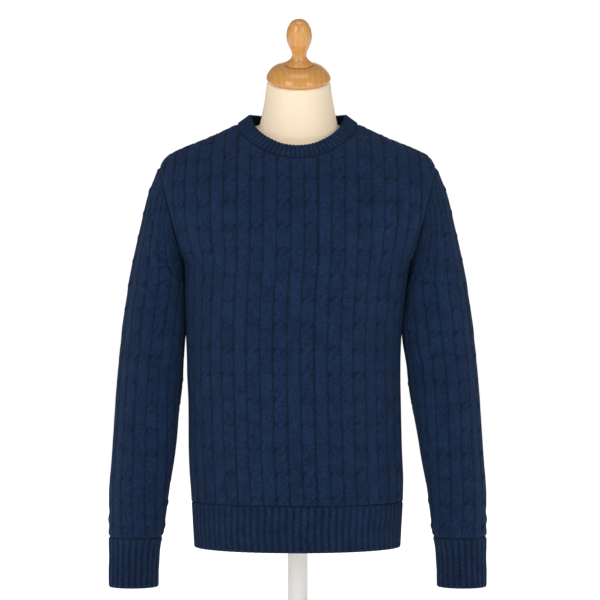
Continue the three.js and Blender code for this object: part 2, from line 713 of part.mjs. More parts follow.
// The dress form: a torso inside the cloth, flat at the arms, with its leaning neck.
function dressForm() {
  const trunk = loft(innerRows(FORM_BOTTOM, (z) => WALL + formGap(z)));
  const axis = new THREE.Vector3(0, -Math.sin(NECK_LEAN), Math.cos(NECK_LEAN));
  const forward = new THREE.Vector3(0, -Math.cos(NECK_LEAN), -Math.sin(NECK_LEAN));
  const angles = spaced(0, 2 * Math.PI, NECK_SEGMENTS).slice(0, -1);
  const rings = NECK.map(({ down, half, deep }) => angles.map((angle) => {
    const point = RIM.clone().addScaledVector(axis, -down).addScaledVector(forward, deep * Math.cos(angle));
    return { point: point.add(new THREE.Vector3(half * Math.sin(angle), 0, 0)) };
  }));
  const whole = trunk.add(loft(rings));
  return [1, -1].reduce((left, side) => left.subtract(beyondArmhole(side, -ARM_PLATE_DEPTH)), whole);
}

// A turned piece from its profile, standing on the rim and leaning with the neck.
function turned(profile, top, segments) {
  const points = [
    new THREE.Vector2(0, profile[0].up),
    ...profile.map(({ up, radius }) => new THREE.Vector2(radius, up)),
    new THREE.Vector2(0, top),
  ];
  const geometry = new THREE.LatheGeometry(points, segments);
  geometry.rotateX(Math.PI / 2 + NECK_LEAN);
  geometry.translate(...RIM.toArray());
  return fromGeometry(geometry);
}

function base() {
  const rounding = spaced(0, Math.PI / 2, 2).map((angle) => new THREE.Vector2(
    BASE_RADIUS - BASE_ROUNDING * (1 - Math.cos(angle)),
    BASE_HEIGHT - BASE_ROUNDING * (1 - Math.sin(angle)),
  ));
  const profile = [
    new THREE.Vector2(0, 0),
    new THREE.Vector2(BASE_RADIUS, 0),
    ...rounding,
    new THREE.Vector2(0, BASE_HEIGHT),
  ];
  return fromGeometry(new THREE.LatheGeometry(profile, BASE_SEGMENTS).rotateX(Math.PI / 2));
}

function pole() {
  const height = FORM_BOTTOM - BASE_HEIGHT - 2 * SEAM_GAP;
  const geometry = new THREE.CylinderGeometry(POLE_RADIUS, POLE_RADIUS, height, POLE_SEGMENTS);
  geometry.rotateX(Math.PI / 2);
  geometry.translate(0, 0, BASE_HEIGHT + SEAM_GAP + height / 2);
  return fromGeometry(geometry);
}

const MATERIALS = {
  wool: new THREE.MeshStandardMaterial({ color: COLORS.wool, roughness: 0.95 }),
  jersey: new THREE.MeshStandardMaterial({ color: COLORS.jersey, roughness: 0.85 }),
  beech: new THREE.MeshStandardMaterial({ color: COLORS.beech, roughness: 0.3 }),
  paint: new THREE.MeshStandardMaterial({ color: COLORS.paint, roughness: 0.4 }),
};

// A solid as a named mesh.
function piece(name, body, material) {
  const { numProp, vertProperties, triVerts } = body.getMesh();
  const buffer = new THREE.InterleavedBuffer(new Float32Array(vertProperties), numProp);
  const geometry = new THREE.BufferGeometry();
  geometry.setAttribute("position", new THREE.InterleavedBufferAttribute(buffer, 3, 0));
  geometry.setIndex(new THREE.BufferAttribute(new Uint32Array(triVerts), 1));
  const mesh = new THREE.Mesh(geometry.toNonIndexed(), material);
  mesh.name = name;
  return mesh;
}

const openBody = [1, -1].reduce((left, side) => left.subtract(beyondArmhole(side, 0)), bodyShell());
const [front, back] = partedAtSides(openBody.subtract(neckHole()));
const acrossMiddle = [-1, 1, 1];

const sweater = new THREE.Group();
sweater.add(
  piece("front", front, MATERIALS.wool),
  piece("back", back, MATERIALS.wool),
  piece("sleeve_left", sleeve(1), MATERIALS.wool),
  piece("sleeve_right", sleeve(-1).scale(acrossMiddle), MATERIALS.wool),
  piece("neckband", neckband(), MATERIALS.wool),
  piece("welt_front", welt(-1), MATERIALS.wool),
  piece("welt_back", welt(1), MATERIALS.wool),
  piece("cuff_left", cuff(), MATERIALS.wool),
  piece("cuff_right", cuff().scale(acrossMiddle), MATERIALS.wool),
);

const stand = new THREE.Group();
stand.add(
  piece("form_body", dressForm(), MATERIALS.jersey),
  piece("neck_cap", turned(CAP_PROFILE, CAP_TOP, CAP_SEGMENTS), MATERIALS.beech),
  piece("finial", turned(FINIAL_PROFILE, FINIAL_TOP, FINIAL_SEGMENTS), MATERIALS.beech),
  piece("pole", pole(), MATERIALS.paint),
  piece("base", base(), MATERIALS.paint),
);

const whole = new THREE.Group();
whole.add(sweater, stand);
export default whole;
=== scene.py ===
# %% [markdown]
# # A cable knit sweater on a dress form
#
# The solid model of this sweater already has the right sizes. This lesson lays a finer skin of
# knitted cloth over each solid, turns the wood on a lathe and lights the whole like a studio
# photograph. Cloth is measured in millimetres, and a point turns to metres once it is placed.

import math

import bmesh
import bpy
import numpy as np
from mathutils import Matrix, Vector


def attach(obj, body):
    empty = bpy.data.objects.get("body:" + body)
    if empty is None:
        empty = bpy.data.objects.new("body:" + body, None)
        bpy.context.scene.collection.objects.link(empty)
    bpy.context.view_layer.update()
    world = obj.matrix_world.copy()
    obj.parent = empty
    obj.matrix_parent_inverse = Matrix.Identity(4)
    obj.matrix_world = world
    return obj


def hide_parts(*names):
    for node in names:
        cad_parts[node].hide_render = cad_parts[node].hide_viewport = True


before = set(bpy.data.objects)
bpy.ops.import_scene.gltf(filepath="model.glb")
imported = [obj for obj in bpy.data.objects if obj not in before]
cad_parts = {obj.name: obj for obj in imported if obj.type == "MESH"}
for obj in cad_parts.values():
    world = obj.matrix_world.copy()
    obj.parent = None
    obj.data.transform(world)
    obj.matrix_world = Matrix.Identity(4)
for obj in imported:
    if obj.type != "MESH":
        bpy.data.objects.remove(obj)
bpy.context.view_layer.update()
MM = 0.001
print("the solid model has", len(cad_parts), "pieces")

# %% [markdown]
# ## The camera
#
# The photograph was taken level with the chest from about four metres, with a long lens that keeps
# the shoulders from bulging. A camera that looks straight at the front repeats that. Its lens
# could be found by trial, but it follows from the distance and from the width that is framed.

# %% Camera
EYE = Vector((0.0037, -3.9, 0.544))
FRAMED = 0.96  # metres across the picture at the sweater
SENSOR = 36  # millimetres

lens = bpy.data.cameras.new("studio camera")
lens.sensor_width = SENSOR
lens.lens = SENSOR * abs(EYE.y) / FRAMED
camera = bpy.data.objects.new("studio camera", lens)
camera.location = EYE
camera.rotation_euler = (math.pi / 2, 0, 0)
bpy.context.scene.collection.objects.link(camera)
bpy.context.scene.camera = camera
bpy.context.scene.view_settings.view_transform = "Standard"
print("lens", round(lens.lens), "mm")

# %% [markdown]
# ## Writing a pattern as a sum
#
# Shader nodes could be placed one by one. A pattern reads better as the sum that it is, so one
# class holds the output of a node, and adding or multiplying such outputs writes Math nodes. Every
# other node comes from the method `node`.

# %% Shader sums
class Signal:
    """The output of a shader node, for use in sums."""

    def __init__(self, tree, socket=None):
        self.tree, self.socket = tree, socket

    def node(self, kind, settings=None, inputs=None, output=0):
        """A new node in the same tree, with its settings first and then its values and links."""
        made = self.tree.nodes.new(kind)
        for name, value in (settings or {}).items():
            setattr(made, name, value)
        for name, value in (inputs or {}).items():
            if isinstance(value, Signal):
                self.tree.links.new(value.socket, made.inputs[name])
            else:
                made.inputs[name].default_value = value
        return Signal(self.tree, made.outputs[output])

    def take(self, operation, *others):
        """A Math node on this signal, and on a second one or a number where it needs two."""
        inputs = dict(enumerate((self, *others)))
        return self.node("ShaderNodeMath", {"operation": operation}, inputs)

    def __add__(self, other):
        return self.take("ADD", other)

    __radd__ = __add__

    def __mul__(self, other):
        return self.take("MULTIPLY", other)

    __rmul__ = __mul__

    def __sub__(self, other):
        return self.take("SUBTRACT", other)

    def __rsub__(self, other):
        return self * -1 + other

    def __abs__(self):
        return self.take("ABSOLUTE")

    def clamped(self):
        return self.take("MAXIMUM", 0).take("MINIMUM", 1)

    def part(self, axis):
        return self.node("ShaderNodeSeparateXYZ", None, {0: self}, axis)

    def mix(self, first, second):
        """The first colour where this signal is 0 and the second where it is 1. A Mix node has
        its colours on sockets 6 and 7, and gives the mixed one on output 2."""
        return self.node("ShaderNodeMix", {"data_type": "RGBA"}, {0: self, 6: first, 7: second}, 2)

    def scaled(self, scale):
        return self.node("ShaderNodeMapping", None, {"Vector": self, "Scale": scale})

    def noise(self, scale, detail):
        """Soft clouds at this place, so many to a metre."""
        inputs = {"Vector": self, "Scale": scale, "Detail": detail}
        return self.node("ShaderNodeTexNoise", None, inputs)

    def bump(self, strength, distance):
        inputs = {"Strength": strength, "Distance": distance, "Height": self}
        return self.node("ShaderNodeBump", None, inputs)


def finish(name, constants):
    """A new material, its shader, and the place on the object, to draw a pattern from."""
    material = bpy.data.materials.new(name)
    material.use_nodes = True
    shader = material.node_tree.nodes["Principled BSDF"]
    for socket, value in constants.items():
        shader.inputs[socket].default_value = value
    place = Signal(material.node_tree).node("ShaderNodeTexCoord", None, None, "Object")
    return material, shader, place


def feed(shader, socket, signal):
    signal.tree.links.new(signal.socket, shader.inputs[socket])


def linear(red, green, blue):
    """The colour that a picture shows as these three numbers of 255."""
    shown = [value / 255 for value in (red, green, blue)]
    return tuple(v / 12.92 if v < 0.04045 else ((v + 0.055) / 1.055) ** 2.4 for v in shown) + (1,)


print("a middle grey is", round(linear(128, 128, 128)[0], 2), "of white in light")

# %% [markdown]
# ## The white ground
#
# In the studio a roll of white paper runs under the stand and up behind it. A curved sheet would
# hide the stand from behind, so this paper is one wide disc. Near the stand it is mostly lit and
# takes a soft shadow. Further out it glows more, until it is as white as the room and no line
# shows where it ends.

# %% Paper
PAPER_RADIUS = 40
GLOW_FROM, GLOW_TO = 0.17, 0.6  # metres from the stand
GLOW_NEAR, GLOW_FAR = 0.48, 0.78


def put(name, mesh, material):
    """Makes a finished mesh an object in the scene, with one material."""
    made = bpy.data.meshes.new(name)
    mesh.to_mesh(made)
    mesh.free()
    made.materials.append(material)
    made.polygons.foreach_set("use_smooth", [True] * len(made.polygons))
    thing = bpy.data.objects.new(name, made)
    bpy.context.scene.collection.objects.link(thing)
    return thing


paper, shader, place = finish("white paper", {
    "Base Color": (0.9, 0.9, 0.9, 1), "Roughness": 0.9, "Specular IOR Level": 0.1,
    "Emission Strength": 1,
})
right, back = place.part(0), place.part(1)
away = (right * right + back * back).take("SQRT")
glow = away.node("ShaderNodeMapRange", {"interpolation_type": "SMOOTHSTEP"}, {
    "Value": away, "From Min": GLOW_FROM, "From Max": GLOW_TO, "To Min": GLOW_NEAR,
    "To Max": GLOW_FAR,
})
feed(shader, "Emission Color", glow)
disc = bmesh.new()
bmesh.ops.create_circle(disc, cap_ends=True, segments=128, radius=PAPER_RADIUS)
put("paper", disc, paper)
print("paper", 2 * PAPER_RADIUS, "m across")

# %% [markdown]
# ## The lights
#
# Navy wool shows its cables only where light grazes them. The left softbox is the stronger one and
# hangs higher, the right one fills its shadows, a lamp overhead lights the shoulders and a fill
# behind keeps the back from going black. The white room lights the cloth a little from all sides.
# The camera sees it brighter than the cloth does, which gives a pure white ground.

# %% Lights
LIGHTS = [
    # name, place, aimed at, width, height, watts
    ("left softbox", (-1.9, -2.9, 1.75), (0, 0, 0.55), 1.2, 1.6, 31),
    ("right softbox", (2.1, -2.9, 1.35), (0, 0, 0.55), 1.2, 1.6, 21),
    ("back fill", (0.5, 3.0, 1.9), (0, 0, 0.55), 1.8, 1.6, 16),
    ("overhead", (0, -0.9, 3.0), (0, 0, 0.6), 1.6, 1.2, 13),
]
ROOM_LIGHT, ROOM_SEEN = 0.26, 1.05

for name, spot, aim, width, height, watts in LIGHTS:
    lamp = bpy.data.lights.new(name, "AREA")
    lamp.shape = "RECTANGLE"
    lamp.size, lamp.size_y, lamp.energy = width, height, watts
    hung = bpy.data.objects.new(name, lamp)
    hung.location = spot
    hung.rotation_euler = (Vector(aim) - Vector(spot)).to_track_quat("-Z", "Y").to_euler()
    bpy.context.scene.collection.objects.link(hung)

room = bpy.data.worlds.new("white room")
room.use_nodes = True
room_light = room.node_tree.nodes["Background"]
room_light.inputs["Color"].default_value = (1, 1, 1, 1)
seen = Signal(room.node_tree).node("ShaderNodeLightPath", None, None, "Is Camera Ray")
feed(room_light, "Strength", seen * (ROOM_SEEN - ROOM_LIGHT) + ROOM_LIGHT)
bpy.context.scene.world = room
print(len(LIGHTS), "lights in a white room")

# %% [markdown]
# ## The wool
#
# Stocking stitch is columns of small Vs. Each V is two slanting legs of yarn, so the height of the
# cloth is a round hump across every leg. Real loops would take millions of faces, and at this
# distance they are only grain, so the material draws them as bumps and paints the top of each
# hump a lighter navy as a painted highlight, over the random tone of the wool. The knit map of a
# piece counts stitches to the right and rows upwards, and two folded numbers turn it into Vs. A
# second map is above zero deep between the cables, where it paints shade in a darker navy, and
# below zero on the crest of a cross, where it paints a highlight in a paler one.

# %% Wool
# the dark navy is painted shade, the lighter one random tone and a painted highlight on the loops, the
# palest a painted highlight on cable crosses
NAVY, NAVY_PAINTED_SHADE = linear(5, 24, 51), linear(4, 9, 22)
NAVY_LIT, NAVY_PAINTED_HIGHLIGHT = linear(26, 54, 93), linear(48, 84, 132)
V_CLIMB = 0.85  # rows that a leg of a V climbs
FIBRES, TUFTS, HEATHER = 950, 260, 45  # clouds to a metre
CREST_LIGHT = 0.85

wool, shader, place = finish("navy wool", {
    "Roughness": 0.88, "Specular IOR Level": 0.18, "Sheen Weight": 0.12, "Sheen Roughness": 0.45,
    "Sheen Tint": linear(120, 150, 200),
})
knit = place.node("ShaderNodeUVMap", {"uv_map": "knit"})
side = abs(knit.part(0).take("FRACT") * 2 - 1)
leg = (knit.part(1) - side * V_CLIMB).take("FRACT")
loops = (leg * math.pi).take("SINE") * 0.5 + (side * math.pi).take("SINE") * 0.5
fibre, tuft, heather = place.noise(FIBRES, 2), place.noise(TUFTS, 2), place.noise(HEATHER, 3)
# the humps of the loops are painted lighter as a painted highlight, mixed with random tone from the
# three noises
tone_and_loop_highlight = loops * 0.55 + (tuft - 0.5) * 1.5 + (heather - 0.5) * 0.9 + (fibre - 0.5) * 0.5 + 0.1
yarn_and_loop_highlight = tone_and_loop_highlight.clamped().mix(NAVY, NAVY_LIT)
painted_shading = place.node("ShaderNodeAttribute", {"attribute_name": "painted_shading"}, None, "Fac")
# painted shade where the map is above zero, a painted highlight where it is below zero
shaded = painted_shading.mix(yarn_and_loop_highlight, NAVY_PAINTED_SHADE)
feed(shader, "Base Color", (painted_shading * -CREST_LIGHT).mix(shaded, NAVY_PAINTED_HIGHLIGHT))
feed(shader, "Normal", (loops + fibre * 0.5 + tuft * 0.8).bump(0.9, 1.2 * MM))
print("wool of", len(wool.node_tree.nodes), "nodes")

# %% [markdown]
# ## Sections of the body
#
# On the form the sweater takes the shape of a padded torso. It could be sculpted, but a stack of
# ovals says the same in a few rows and matches the solid model. Each row of this table gives an
# oval's height, its half width, and its depth in front of and behind the side seams. A smooth line
# through the rows gives every section between them.

# %% Body sections
BODY = np.array([
    # height, side, front, back
    (150, 164, 113, 110), (224, 168, 116, 112), (272, 170, 117, 110), (384, 169, 118, 106),
    (480, 172, 121, 108), (560, 178, 125, 116), (594, 180.4, 126.6, 119.8), (605, 183, 127, 121),
    (612, 188.4, 127, 121.6), (620, 195, 127, 122), (640, 212, 126, 123), (680, 240, 121, 121),
    (715, 243, 111, 115), (740, 234, 101, 108), (756, 221, 92, 102), (768, 213, 83, 96),
    (776, 204, 76, 91), (784, 189, 69, 86), (792, 170, 61, 80), (800, 150, 53, 74),
    (808, 131, 44, 67), (816, 115, 35, 60), (824, 99, 26, 53), (832, 85, 17, 46),
]).T
HEM, WELT_TOP, CROSS_LEVEL, CHEST, BODY_TOP = 150, 224, 544, 680, 832
ARMPIT, SHOULDER_TIP = (183, 605), (220.75, 756)
LEAN = (SHOULDER_TIP[0] - ARMPIT[0]) / (SHOULDER_TIP[1] - ARMPIT[1])


def curve(x, y):
    """A smooth line through points, which never swings past them."""
    slopes = np.diff(y) / np.diff(x)
    before, after = np.r_[slopes[:1], slopes], np.r_[slopes, slopes[-1:]]
    steady = before * after > 0
    tangents = np.where(steady, 2 * before * after / np.where(steady, before + after, 1), 0)

    def at(place):
        held = np.clip(place, x[0], x[-1])
        i = np.clip(np.searchsorted(x, held) - 1, 0, len(x) - 2)
        span = x[i + 1] - x[i]
        t = (held - x[i]) / span
        start = (1 + 2 * t) * (1 - t) ** 2 * y[i] + t * (1 - t) ** 2 * span * tangents[i]
        return start + t * t * (3 - 2 * t) * y[i + 1] - t * t * (1 - t) * span * tangents[i + 1]

    return at


def eased(value, start, end):
    """0 up to the start, 1 from the end, and a soft step between."""
    t = np.clip((value - start) / (end - start), 0, 1)
    return t * t * (3 - 2 * t)


def unit(vectors):
    return vectors / np.linalg.norm(vectors, axis=-1, keepdims=True)


def armhole(z):
    """How far the slanting plane of the armhole stands from the middle at a height."""
    return ARMPIT[0] + LEAN * (z - ARMPIT[1])


body_side, body_front, body_back = (curve(BODY[0], column) for column in BODY[1:])


def torso(angle, z, face):
    """Points and normals of the body in millimetres. The face is -1 in front and 1 behind."""
    depth = body_front if face < 0 else body_back
    wide, deep = body_side(z), depth(z)
    x, y = wide * np.sin(angle), face * deep * np.cos(angle)
    widening = body_side(z + 0.5) - body_side(z - 0.5)
    deepening = depth(z + 0.5) - depth(z - 0.5)
    rise = -(x * x * widening / wide**3 + y * y * deepening / deep**3)
    normal = np.stack([x / wide**2, y / deep**2, rise + 0 * x], -1)
    return np.stack([x, y, z + 0 * x], -1), unit(normal)


print("the chest is", round(2 * float(body_side(CHEST))), "mm wide")

# %% [markdown]
# ## The relief of the knit
#
# A repeat of fourteen stitches is six plain ones, a purl, a cable of six and another purl. The
# purl is a groove. The cable is two strands of three stitches, and every 38.6 mm the left one
# steps over the right one. Between two crosses the strands lie side by side and look plain. Strands
# could be ropes laid on the cloth, but in knitting they rise out of it. So one formula gives the
# height of the cloth everywhere.

# %% Cables
STITCHES = 14  # in a repeat
CROSS_SPACING, CROSS_HEIGHT = 38.6, 13
ROWS_IN_CROSS = 18  # rows from one cross to the next
BODY_REPEAT, SLEEVE_REPEAT = 42.5, 38  # millimetres across
CROSS_SOFT = 0.85  # how quickly a strand swells towards a cross
SWING, STRAND_HALF, PLAIN_HALF, CABLE_HALF = 1.5, 1.6, 3.1, 3.3  # in stitches
SLANTED = 0.16  # a slanting strand is wider along the row than an upright one
UNDER_WIDER = 1.12
# cloth lower than SHALLOW is painted darker, as painted shade
SHALLOW = 0.8  # cloth lower than this counts as a valley


def rounded(off, power):
    """The profile of a strand: 1 in the middle, 0 at its edges."""
    return np.clip(1 - np.abs(off) ** power, 0, 1) ** 0.6


def cable_relief(across, up, repeat):
    """Height of the knit in millimetres, the stitch map, and the painted shade and highlight at places
    on the cloth: shade where it lies low and beside the upper strand at a cross, a highlight along
    that strand's crest. across runs to the right of who looks at it and up runs upwards."""
    stitch = across / repeat * STITCHES
    in_repeat = np.mod(stitch, STITCHES)
    half_cross = CROSS_HEIGHT / 2
    phase = (np.mod(up + half_cross, CROSS_SPACING) - half_cross) / half_cross
    phases = (phase, phase - CROSS_SPACING / half_cross)
    near_cross = sum(np.exp(-((p / CROSS_SOFT) ** 2)) for p in phases)
    swing = np.sin(np.clip(phase, -1, 1) * math.pi / 2) * SWING * (1 - 0.1 * near_cross)
    from_middle = in_repeat - STITCHES / 2
    width = STRAND_HALF * (1 + SLANTED * near_cross)
    front = (from_middle - swing) / width
    behind = (from_middle + swing) / (width * UNDER_WIDER)
    over = rounded(front, 2.2) * (1.45 + 1.5 * near_cross)
    under = rounded(behind, 3) * (1.4 - 0.7 * near_cross)
    plain = rounded(np.minimum(in_repeat, STITCHES - in_repeat) / PLAIN_HALF, 4) * 1.3
    height = np.maximum(np.maximum(over, under), plain)
    # the Vs of a strand follow it aside
    is_over, is_under = (over >= under) & (over > 0.05), (under > over) & (under > 0.05)
    shift = np.where(is_over, -swing, np.where(is_under, swing, 0)) * (near_cross > 0.02)
    # painted shade in a thin line beside the upper strand near a cross
    beside = np.exp(-(((np.abs(front) - 1.12) / 0.3) ** 2)) * near_cross
    beside = beside * (np.abs(from_middle) < CABLE_HALF)
    # painted shade where the cloth lies low
    painted_shading = np.clip(1 - height / SHALLOW, 0, 1) * 0.62
    # painted highlight along the crest of the upper strand at a cross
    crest_highlight = near_cross * rounded(front, 2.2) * (1 - np.clip(np.abs(phase), 0, 1) ** 2)
    return height, stitch + shift, np.maximum(painted_shading, 0.6 * beside) - crest_highlight


probe = cable_relief(np.linspace(0, BODY_REPEAT, 200), np.zeros(200), BODY_REPEAT)[0]
print("a cable stands up to", round(float(probe.max()), 2), "mm high")

# %% [markdown]
# ## Soft folds
#
# Worn cloth is never smooth. Drag lines run from the armpits, the sleeves bend at the elbow and
# the body settles a little above the ribs. A cloth simulation could fold it, but it would have to be
# steered to put each fold where the garment has one. Here each row of a table is one trough with a
# low ridge beside it, with its own place, slope, length, width and depth, so that no two are alike.
# A slow ripple of a millimetre joins them.
#
# The first table shifts whole outlines sideways, below zero to the wearer's right. The body hangs
# a little that way, and the inner lines of the sleeves bow with it, the left one most.

# %% Folds
LEANS = np.array([
    # height, sideways shift of the body, of the right sleeve's inner line and of the left one's
    (150, -0.8, 0, 0), (224, -0.8, 2, 0), (312, -4, 0, 0), (384, -5, -3, -3.5),
    (432, -6.3, -3, -5), (480, -6.4, -1.5, -11), (504, -6, 1, -12.3), (560, -4, 3.2, -9.5),
    (590, -1.6, 4, -6.5), (612, 0, 2, -3), (640, 0, 0, 0), (840, 0, 0, 0),
]).T
FRONT_FOLDS = [
    # across, up from the cross level, slope in degrees from upright, length, width, depth
    (-158, 28, 34, 62, 10, 2.6), (-140, -6, 24, 70, 12, 1.8), (-163, -62, 12, 60, 11, 1.6),
    (156, 22, -36, 58, 10, 2.4), (138, -14, -22, 76, 12, 1.7), (165, -74, -10, 55, 10, 1.5),
    (-176, 92, -20, 40, 9, 2.0), (174, 96, 22, 44, 9, 2.2), (-120, -268, 68, 60, 9, 1.3),
    (96, -274, -72, 72, 9, 1.4), (-20, -282, 86, 80, 8, 1.0), (40, 60, 8, 90, 24, 0.8),
    (-70, 130, 20, 80, 20, 0.9), (84, 140, -24, 70, 18, 0.9), (-190, 176, -62, 38, 9, 1.6),
    (188, 180, 60, 36, 9, 1.6), (20, -170, 80, 100, 22, 0.9), (-90, -190, -70, 80, 20, 0.9),
]
BACK_FOLDS = [
    # the same columns
    (-160, 20, 32, 66, 11, 2.4), (-136, -20, 22, 74, 13, 1.9), (158, 30, -30, 60, 11, 2.5),
    (142, -24, -26, 70, 12, 1.7), (-60, -120, 62, 110, 17, 2.2), (50, -142, -58, 104, 16, 2.4),
    (0, -182, 88, 130, 15, 2.0), (-96, -214, 74, 90, 12, 1.8), (100, -228, -78, 84, 12, 1.7),
    (-170, 96, -18, 42, 9, 1.9), (172, 90, 20, 40, 9, 1.9), (0, 100, 4, 120, 22, 1.0),
]
SLEEVE_FOLDS = [
    # across, up from the armhole, and the rest as above
    (-70, -76, 40, 46, 8, 1.8), (-96, -118, 52, 52, 8, 2.2), (-60, -206, 66, 44, 9, 1.7),
    (-92, -236, 72, 40, 8, 1.6), (-40, -262, -64, 40, 9, 1.4), (-82, -318, 70, 44, 9, 1.4),
    (-54, -368, -72, 40, 9, 1.2), (-70, -452, 76, 44, 8, 1.3), (-60, -520, -78, 46, 8, 1.4),
    (-100, -560, 80, 40, 7, 1.5), (74, -90, -44, 48, 9, 2.0), (96, -140, -56, 50, 9, 2.1),
    (62, -228, -66, 44, 9, 1.9), (90, -262, -74, 44, 9, 2.0), (50, -300, 60, 40, 9, 1.5),
    (86, -380, -72, 44, 9, 1.4), (60, -480, 76, 44, 9, 1.3), (76, -556, -80, 42, 7, 1.5),
    (20, -556, 84, 46, 7, 1.2), (-16, -578, -84, 44, 6, 1.2),
]
WELT_FOLDS = [
    # across, up from the welt's own level, and the rest as above
    (-60, -4, 80, 60, 9, 1.0), (90, 6, -76, 60, 9, 1.0),
]
WELT_FOLD_LEVEL = 200
RIPPLES = np.random.default_rng(7).uniform([-1, -1, 0], [1, 1, 6.28], (7, 3))
RIPPLE, RIPPLE_LENGTHS = 0.45, (31, 44)
DRIFT = 0.12  # how far the columns stray from a straight line, in the same ripples


def folded(across, up, folds=(), ripple=RIPPLE):
    """How far the cloth stands out at a place, below zero in a trough."""
    out = np.zeros(np.broadcast(across, up).shape)
    for x, z, slope, long, wide, deep in folds:
        turn = math.radians(slope)
        right, rise = across - x, up - z
        beside = right * math.cos(turn) - rise * math.sin(turn)
        along = right * math.sin(turn) + rise * math.cos(turn)
        bent = beside + (along / long) ** 2 * wide * 0.5
        ridge = np.exp(-(((bent - 1.7 * wide) / wide) ** 2))
        trough = np.exp(-((bent / wide) ** 2)) - 0.45 * ridge
        out = out - deep * trough * np.exp(-((along / long) ** 2))
    for x, z, start in RIPPLES:
        wave = across / RIPPLE_LENGTHS[0] * x + up / RIPPLE_LENGTHS[1] * z + start
        out = out + ripple * np.sin(wave)
    return out


body_lean, right_lean, left_lean = (curve(LEANS[0], column) for column in LEANS[1:])
print(len(FRONT_FOLDS), "folds in front and", len(SLEEVE_FOLDS), "on a sleeve")

# %% [markdown]
# ## Laying cloth on a section
#
# A flat grid stands for the knitted panel, one row of points for every two millimetres of cloth.
# Each row is laid along the oval at its height, measured from the centre line, so that stitches
# keep their size and the columns that find no room run off at the seam. Stretching the grid to
# the oval would be simpler, but the cables would fan out. At a seam the cloth turns in by a
# millimetre, as two sewn edges do, and lies in a little shade.

# %% Lay a panel
FINE = 2.05  # millimetres between columns of points
LEVEL = FINE * 1.06  # and between their rows
SEAM_TURN = {"deep": 1.1, "wide": 3}
SEAM_FADE = 5  # over which the relief sinks towards a seam
ROW_HEIGHT = CROSS_SPACING / ROWS_IN_CROSS
TURNS = np.linspace(0, math.pi / 2, 241)
SAMPLED_FACES = 900


def paths(points):
    """Length along each column of rows of points, from the first row."""
    steps = np.linalg.norm(np.diff(points, axis=0), axis=-1)
    return np.vstack([np.zeros(points.shape[1]), np.cumsum(steps, axis=0)])


def both_ways(steps):
    """Steps to the right of a centre line, with the same ones to the left before them."""
    return np.r_[-steps[:0:-1], steps]


def seam_turn(from_edge):
    return -SEAM_TURN["deep"] * (1 - eased(from_edge, 0, SEAM_TURN["wide"]))


def seam_shade(painted_shading, from_edge, dark=0.5, wide=2.6):
    return np.maximum(painted_shading, dark * (1 - eased(from_edge, 0, wide)))


def lay(points, normals, maps, rise):
    """A grid with its corners moved to the given places, and its knit map and its map of painted
    shade and highlight filled.
    """
    rows, columns = points.shape[:2]
    cloth = bmesh.new()
    bmesh.ops.create_grid(cloth, x_segments=columns - 1, y_segments=rows - 1, size=1)
    cloth.verts.index_update()
    # the grid's corners are matched to rows and columns by where they lie
    spots = np.array([(v.co.y, v.co.x) for v in cloth.verts]).round(6)
    order = np.lexsort((spots[:, 1], spots[:, 0]))
    rank = np.empty(len(order), int)
    rank[order] = np.arange(len(order))
    rank = rank.tolist()
    placed = ((points + normals * rise[..., None]) * MM).reshape(-1, 3).tolist()
    stitch, course, painted_shading = (m.reshape(-1).tolist() for m in maps)
    uv = cloth.loops.layers.uv.new("knit")
    # the map of painted shade and highlight is kept on the points
    dark = cloth.verts.layers.float.new("painted_shading")
    for v in cloth.verts:
        here = rank[v.index]
        v.co = placed[here]
        v[dark] = painted_shading[here]
    for f in cloth.faces:
        corners = [rank[loop.vert.index] for loop in f.loops]
        middle = sorted(stitch[c] for c in corners)[1]
        for loop, c in zip(f.loops, corners):
            # a face that joins two strands keeps to one strand's stitches
            off = stitch[c] - middle
            loop[uv].uv = (stitch[c] - round(off) if abs(off) > 1.2 else stitch[c], course[c])
    cloth.normal_update()
    outward = normals.reshape(-1, 3)
    sample = list(cloth.faces)[:: max(1, len(cloth.faces) // SAMPLED_FACES)]
    if sum(f.normal.dot(Vector(outward[rank[f.verts[0].index]])) for f in sample) < 0:
        bmesh.ops.reverse_faces(cloth, faces=cloth.faces)
    bmesh.ops.remove_doubles(cloth, verts=cloth.verts, dist=0.00002)
    return cloth


def body_row(z, distances, face, shares=None):
    """One row of the body at signed distances, or shares, from the centre line, and how far each
    point is from the side seam."""
    places, _ = torso(TURNS, z, face)
    lengths = np.r_[0, np.cumsum(np.linalg.norm(np.diff(places, axis=0), axis=-1))]
    if shares is not None:
        distances = shares * lengths[-1]
    angle = np.interp(np.abs(distances), lengths, TURNS) * np.sign(distances)
    points, normals = torso(angle, z, face)
    return points, normals, np.clip(lengths[-1] - np.abs(distances), 0, None)


print("a row of stitches is", round(ROW_HEIGHT, 2), "mm high")

# %% [markdown]
# ## Cutting the neck and the armholes
#
# The armholes are cut by the slanting plane that a set-in sleeve leaves, and the neck by an oval
# seen from above. Boolean modifiers could cut both, but need solid cutters. Bisecting with one plane
# does the same for an armhole. For the neck, corners close to the oval are first moved onto it, and
# then the faces inside it are taken away, so that the edge is a clean line.

# %% Cuts
NECK = {"half": 96, "front": 84, "back": 57, "lowest": 740}
TUCKED = 0.972  # the cut lies a little under the neckband
ARMHOLE_CUT = 0.00001


def neck_reach(x, y):
    """1 on the neck seam, less inside it."""
    return np.hypot(x / NECK["half"], y / np.where(np.asarray(y) < 0, NECK["front"], NECK["back"]))


